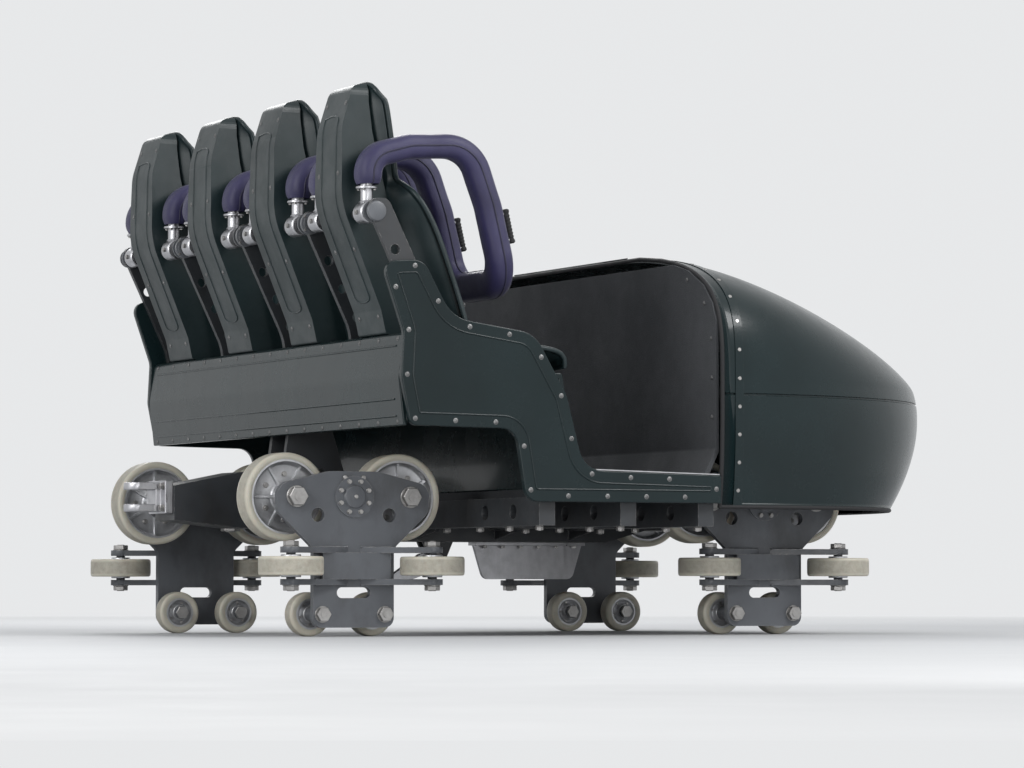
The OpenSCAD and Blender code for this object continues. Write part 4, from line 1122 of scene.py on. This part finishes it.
SPINE_HALF_W = 0.090
CLAMP_FACE = SPINE_HALF_W + 0.013 + 0.012
SPINE_LOW = AXLE_Z - 0.142
DECK_Z = FLOOR_Z - FLOOR_T
OUTRIGGER_LOW = DECK_Z - 0.096
OUTRIGGERS = (REAR_X + 0.535, (REAR_X + 0.500 + HOOD_X) / 2, HOOD_X - 0.044)
OUTRIGGER_HALF_W, GUSSET_HALF_T = 0.031, 0.0075
OUTRIGGER_BOLT_Y = (0.33, 0.60, 0.83, 1.06)
DOG = Vector((REAR_X + 0.640, 0, SPINE_LOW - 0.062))
KINGPIN_REACH = 0.079


def weld(b, start, end):
    """A weld bead: a rod with the ripples that its passes leave."""
    start, end = Vector(start), Vector(end)
    count = max(4, round((end - start).length / 0.006))
    ripple = basis(end - start)[1] * 0.0004
    b.tube([start.lerp(end, k / count) + ripple * (-1) ** k for k in range(count + 1)], 0.0038, 1, 8)


def chassis_fasteners():
    """Bolts of the axle clamps, brake fin, dog and hitch, and the welds and bolts of the outriggers."""
    b = Build()
    fin_low, fin_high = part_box("brake_fin")
    hitch_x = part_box("tow_hitch")[0].x + 0.120
    for s in (1, -1):
        out, wall = Y * s, s * SPINE_HALF_W
        for x in (REAR_X, FRONT_X):
            clamp = Vector((x, s * CLAMP_FACE, AXLE_Z))
            for place in ring(X, Z, 0.0575, 10):
                b.bolt(clamp + place, out, 0.010, 0.006)
            b.tube([clamp + place for place in ring(X, Z, 0.0515, 40)], 0.0030, 1, 8, loop=True)
        for x in OUTRIGGERS:
            for edge in (x - OUTRIGGER_HALF_W, x + OUTRIGGER_HALF_W):
                weld(b, (edge, wall, OUTRIGGER_LOW + 0.004), (edge, wall, DECK_Z - 0.006))
            # Along the gusset, on the spine's wall and under the outrigger
            for edge in (x - GUSSET_HALF_T, x + GUSSET_HALF_T):
                weld(b, (edge, wall, SPINE_LOW + 0.012), (edge, wall, OUTRIGGER_LOW))
                near, far = wall + s * 0.006, wall + s * 0.165
                weld(b, (edge, near, OUTRIGGER_LOW), (edge, far, OUTRIGGER_LOW))
            for y in OUTRIGGER_BOLT_Y:
                b.bolt(Vector((x, s * y, OUTRIGGER_LOW)), -Z, 0.024, 0.013, 0, 0.003)
        for x in even(5, fin_low.x + 0.040, fin_high.x - 0.040):
            b.bolt(Vector((x, s * 0.022, SPINE_LOW - 0.0123)), -Z, 0.014, 0.008, 0, 0.0015)
        b.bolt(DOG + out * 0.0295, out, 0.034, 0.012, 0, 0.002)
        for rise in (-0.030, 0.046):
            b.bolt(Vector((hitch_x, s * 0.062, AXLE_Z + rise)), -X, 0.022, 0.012, 0, 0.002)
    b.make("chassis_bolts", [BOLT_STEEL, DARK_PAINT], "car", "bright_steel", 30)


def kingpin_nuts():
    """A nut at both ends of each kingpin, riding on its knuckle."""
    for corner in CORNERS:
        king = joint_point("knuckle_" + corner)
        b = Build()
        for up in (1, -1):
            b.bolt(Vector((king.x, king.y, AXLE_Z + up * KINGPIN_REACH)), Z * up, 0.062, 0.022, 0, 0.003)
        b.make("kingpin_nuts_" + corner, [BOLT_STEEL], "knuckle_" + corner, "bright_steel", 30)


POST_Y = (-1.128, -0.580, 0.0, 0.580, 1.128)
POST_HALF_T = 0.010
FLANGE_T = 0.010


def shaft_flanges():
    """Flanged bearings that hold the restraint shaft in the posts, and caps over its ends."""
    cap = [(0.0, -0.001), (0.034, -0.001), (0.034, 0.006), (0.031, 0.010), (0.024, 0.012), (0.0, 0.0125)]
    flange = [
        (0.0205, -0.001), (0.038, -0.001), (0.038, FLANGE_T * 0.5), (0.036, FLANGE_T * 0.7),
        (0.028, FLANGE_T * 0.8), (0.027, FLANGE_T), (0.0205, FLANGE_T),
    ]
    b = Build()
    for y in POST_Y:
        for out in (Y, -Y):
            foot = Vector((SHAFT.x, y, SHAFT.z)) + out * POST_HALF_T
            at_end = abs(foot.y) > POST_Y[-1]
            b.lathe(cap if at_end else flange, foot, out, 1, 36)
            for place in () if at_end else ring(X, Z, 0.0325, 4, 0.5):
                b.bolt(foot + place + out * FLANGE_T * 0.6, out, 0.008, 0.004)
    b.make("shaft_flanges", [BOLT_STEEL, GREY_PAINT], "car", "bright_steel", 30)


COVER_LINE = (
    # The rear face of a cover from its foot up, each corner (x, z, radius)
    (REAR_X + 0.004, COVER_LOW, 0), (REAR_X - 0.014, COVER_LOW + 0.080, 0.060),
    (SHAFT.x - 0.057, SHAFT.z + 0.040, 0.300), (SHAFT.x - 0.052, SHAFT.z + 0.290, 0.190),
    (REAR_X - 0.112, PAN_Z + 0.940, 0),
)
COVER_SWAGE_Y = 0.058
COVER_SCREW_Y = 0.078


def cover_trim():
    """A swage and screws on the rear face of each cover behind the seats."""
    line = spaced(arc_path(COVER_LINE), 0.012)
    first, last = 9, len(line) - 8
    loop = [at_y(p, COVER_SWAGE_Y) for p in line[first:last]]
    loop += mirrored(loop)
    n = len(loop)
    swage = list(loop)
    # The loop's corners, softened over the points beside them
    for k in (0, 1, n // 2 - 1, n // 2, n // 2 + 1, n - 2, n - 1):
        near = [loop[(k + d) % n] for d in (-2, -1, 0, 1, 2)]
        swage[k] = sum((p * w for p, w in zip(near, (0.1, 0.25, 0.3, 0.25, 0.1))), Vector())
    halfway = (first + last) // 2
    for number, y in enumerate(SEAT_Y, 1):
        b = Build()
        b.tube([p + Y * y + X * 0.0008 for p in swage], 0.0034, loop=True)
        for k in (first - 4, halfway - 12, halfway + 10, last + 2):
            along = line[k + 1] - line[k - 1]
            for side in (COVER_SCREW_Y, -COVER_SCREW_Y):
                screw(b, at_y(line[k], y + side), Vector((-along.y, 0, along.x)))
        b.make(f"cover_swage_{number}", [SHELL, SCREW_STEEL], "car", "body_shell", 40)


# Stage


BACKDROP = (0.80, 0.81, 0.82)
FLOOR_REACH = 60.0
LAMP_TARGET = Vector((0, 0, 0.8))


def aimed(name, data, place, target):
    """A lamp or camera at the place, looking at the target."""
    obj = add_object(name, data)
    obj.location = place
    obj.rotation_mode = "QUATERNION"
    obj.rotation_quaternion = (target - obj.location).to_track_quat("-Z", "Y")
    return obj


def stage():
    """An even pale backdrop, a floor that fades into it, and four soft lamps."""
    world = bpy.data.worlds.new("studio")
    bpy.context.scene.world = world
    world.use_nodes = True
    tree = world.node_tree
    tree.nodes.clear()
    rays = add_node(tree, "LightPath").outputs
    shown = rays["Is Camera Ray"]
    for kind in ("Is Glossy Ray", "Is Transmission Ray"):
        shown = add_node(tree, "Math", {0: shown, 1: rays[kind]}, operation="MAXIMUM").outputs[0]
    light = add_node(tree, "Background", {"Color": (0.90, 0.94, 1.0), "Strength": 0.42})
    seen = add_node(tree, "Background", {"Color": BACKDROP})
    blend = add_node(tree, "MixShader", {0: shown, 1: light.outputs[0], 2: seen.outputs[0]})
    add_node(tree, "OutputWorld", {0: blend.outputs[0]})

    mesh = bpy.data.meshes.new("studio_floor")
    corners = [(x * FLOOR_REACH, y * FLOOR_REACH, 0) for x, y in ((-1, -1), (1, -1), (1, 1), (-1, 1))]
    mesh.from_pydata(corners, [], [(0, 1, 2, 3)])
    f = Finish("floor_pale", Emission_Color=(*BACKDROP, 1))
    far = f.band(f.out("VectorMath", "Value", {0: f.place}, operation="LENGTH"), 3.5, 11.0)
    f.use("Base Color", f.mix(far, (0.60, 0.605, 0.61), (0, 0, 0)))
    f.use("Emission Strength", far)
    f.use("Specular IOR Level", f.band(far, 0, 1, 0.2, 0))
    f.use("Roughness", f.band(f.noise(3, 4), 0.3, 0.7, 0.6, 0.72))
    mesh.materials.append(f.material)
    add_object("studio_floor", mesh)

    for name, place, size, power in (
        ("key", (3.5, -6.5, 6.0), 4.0, 430),
        ("side", (-7.0, -3.0, 3.2), 3.5, 220),
        ("back", (1.5, 6.5, 5.0), 4.5, 260),
        ("low_fill", (-1.5, -8.5, 0.9), 2.5, 90),
    ):
        lamp = bpy.data.lights.new(name, "AREA")
        lamp.shape, lamp.size, lamp.energy = "DISK", size, power
        aimed(name, lamp, place, LAMP_TARGET)


CAMERA_AZIMUTH = radians(-26)
CAMERA_Z = 0.16
CAMERA_DISTANCE = 15.5
CAMERA_LENS = 150


def camera():
    """The photograph looks up along a long lens: the camera stands low, off the car's rear right."""
    centre = (cad_box[0] + cad_box[1]) / 2
    data = bpy.data.cameras.new("camera")
    data.lens = CAMERA_LENS
    data.clip_end = 200
    back = Vector((sin(CAMERA_AZIMUTH), -cos(CAMERA_AZIMUTH), 0))
    place = Vector((centre.x, centre.y, CAMERA_Z)) + back * CAMERA_DISTANCE
    scene = bpy.context.scene
    scene.camera = aimed("camera", data, place, centre - Z * 0.02)
    scene.view_settings.view_transform = "Standard"


kept_nodes()
wheels()
for corner in CORNERS:
    bogie_fasteners(corner)
hood()
hood_trim()
for number, seat_y in enumerate(SEAT_Y, 1):
    seat_shell(number, seat_y)
    for kind in PADS:
        cushion(kind, number, seat_y)
    restraint(number, seat_y)
side_trim()
rear_trim()
floor_mats()
plinth_trim()
bulkhead_trim()
chassis_fasteners()
kingpin_nuts()
shaft_flanges()
cover_trim()
stage()
camera()
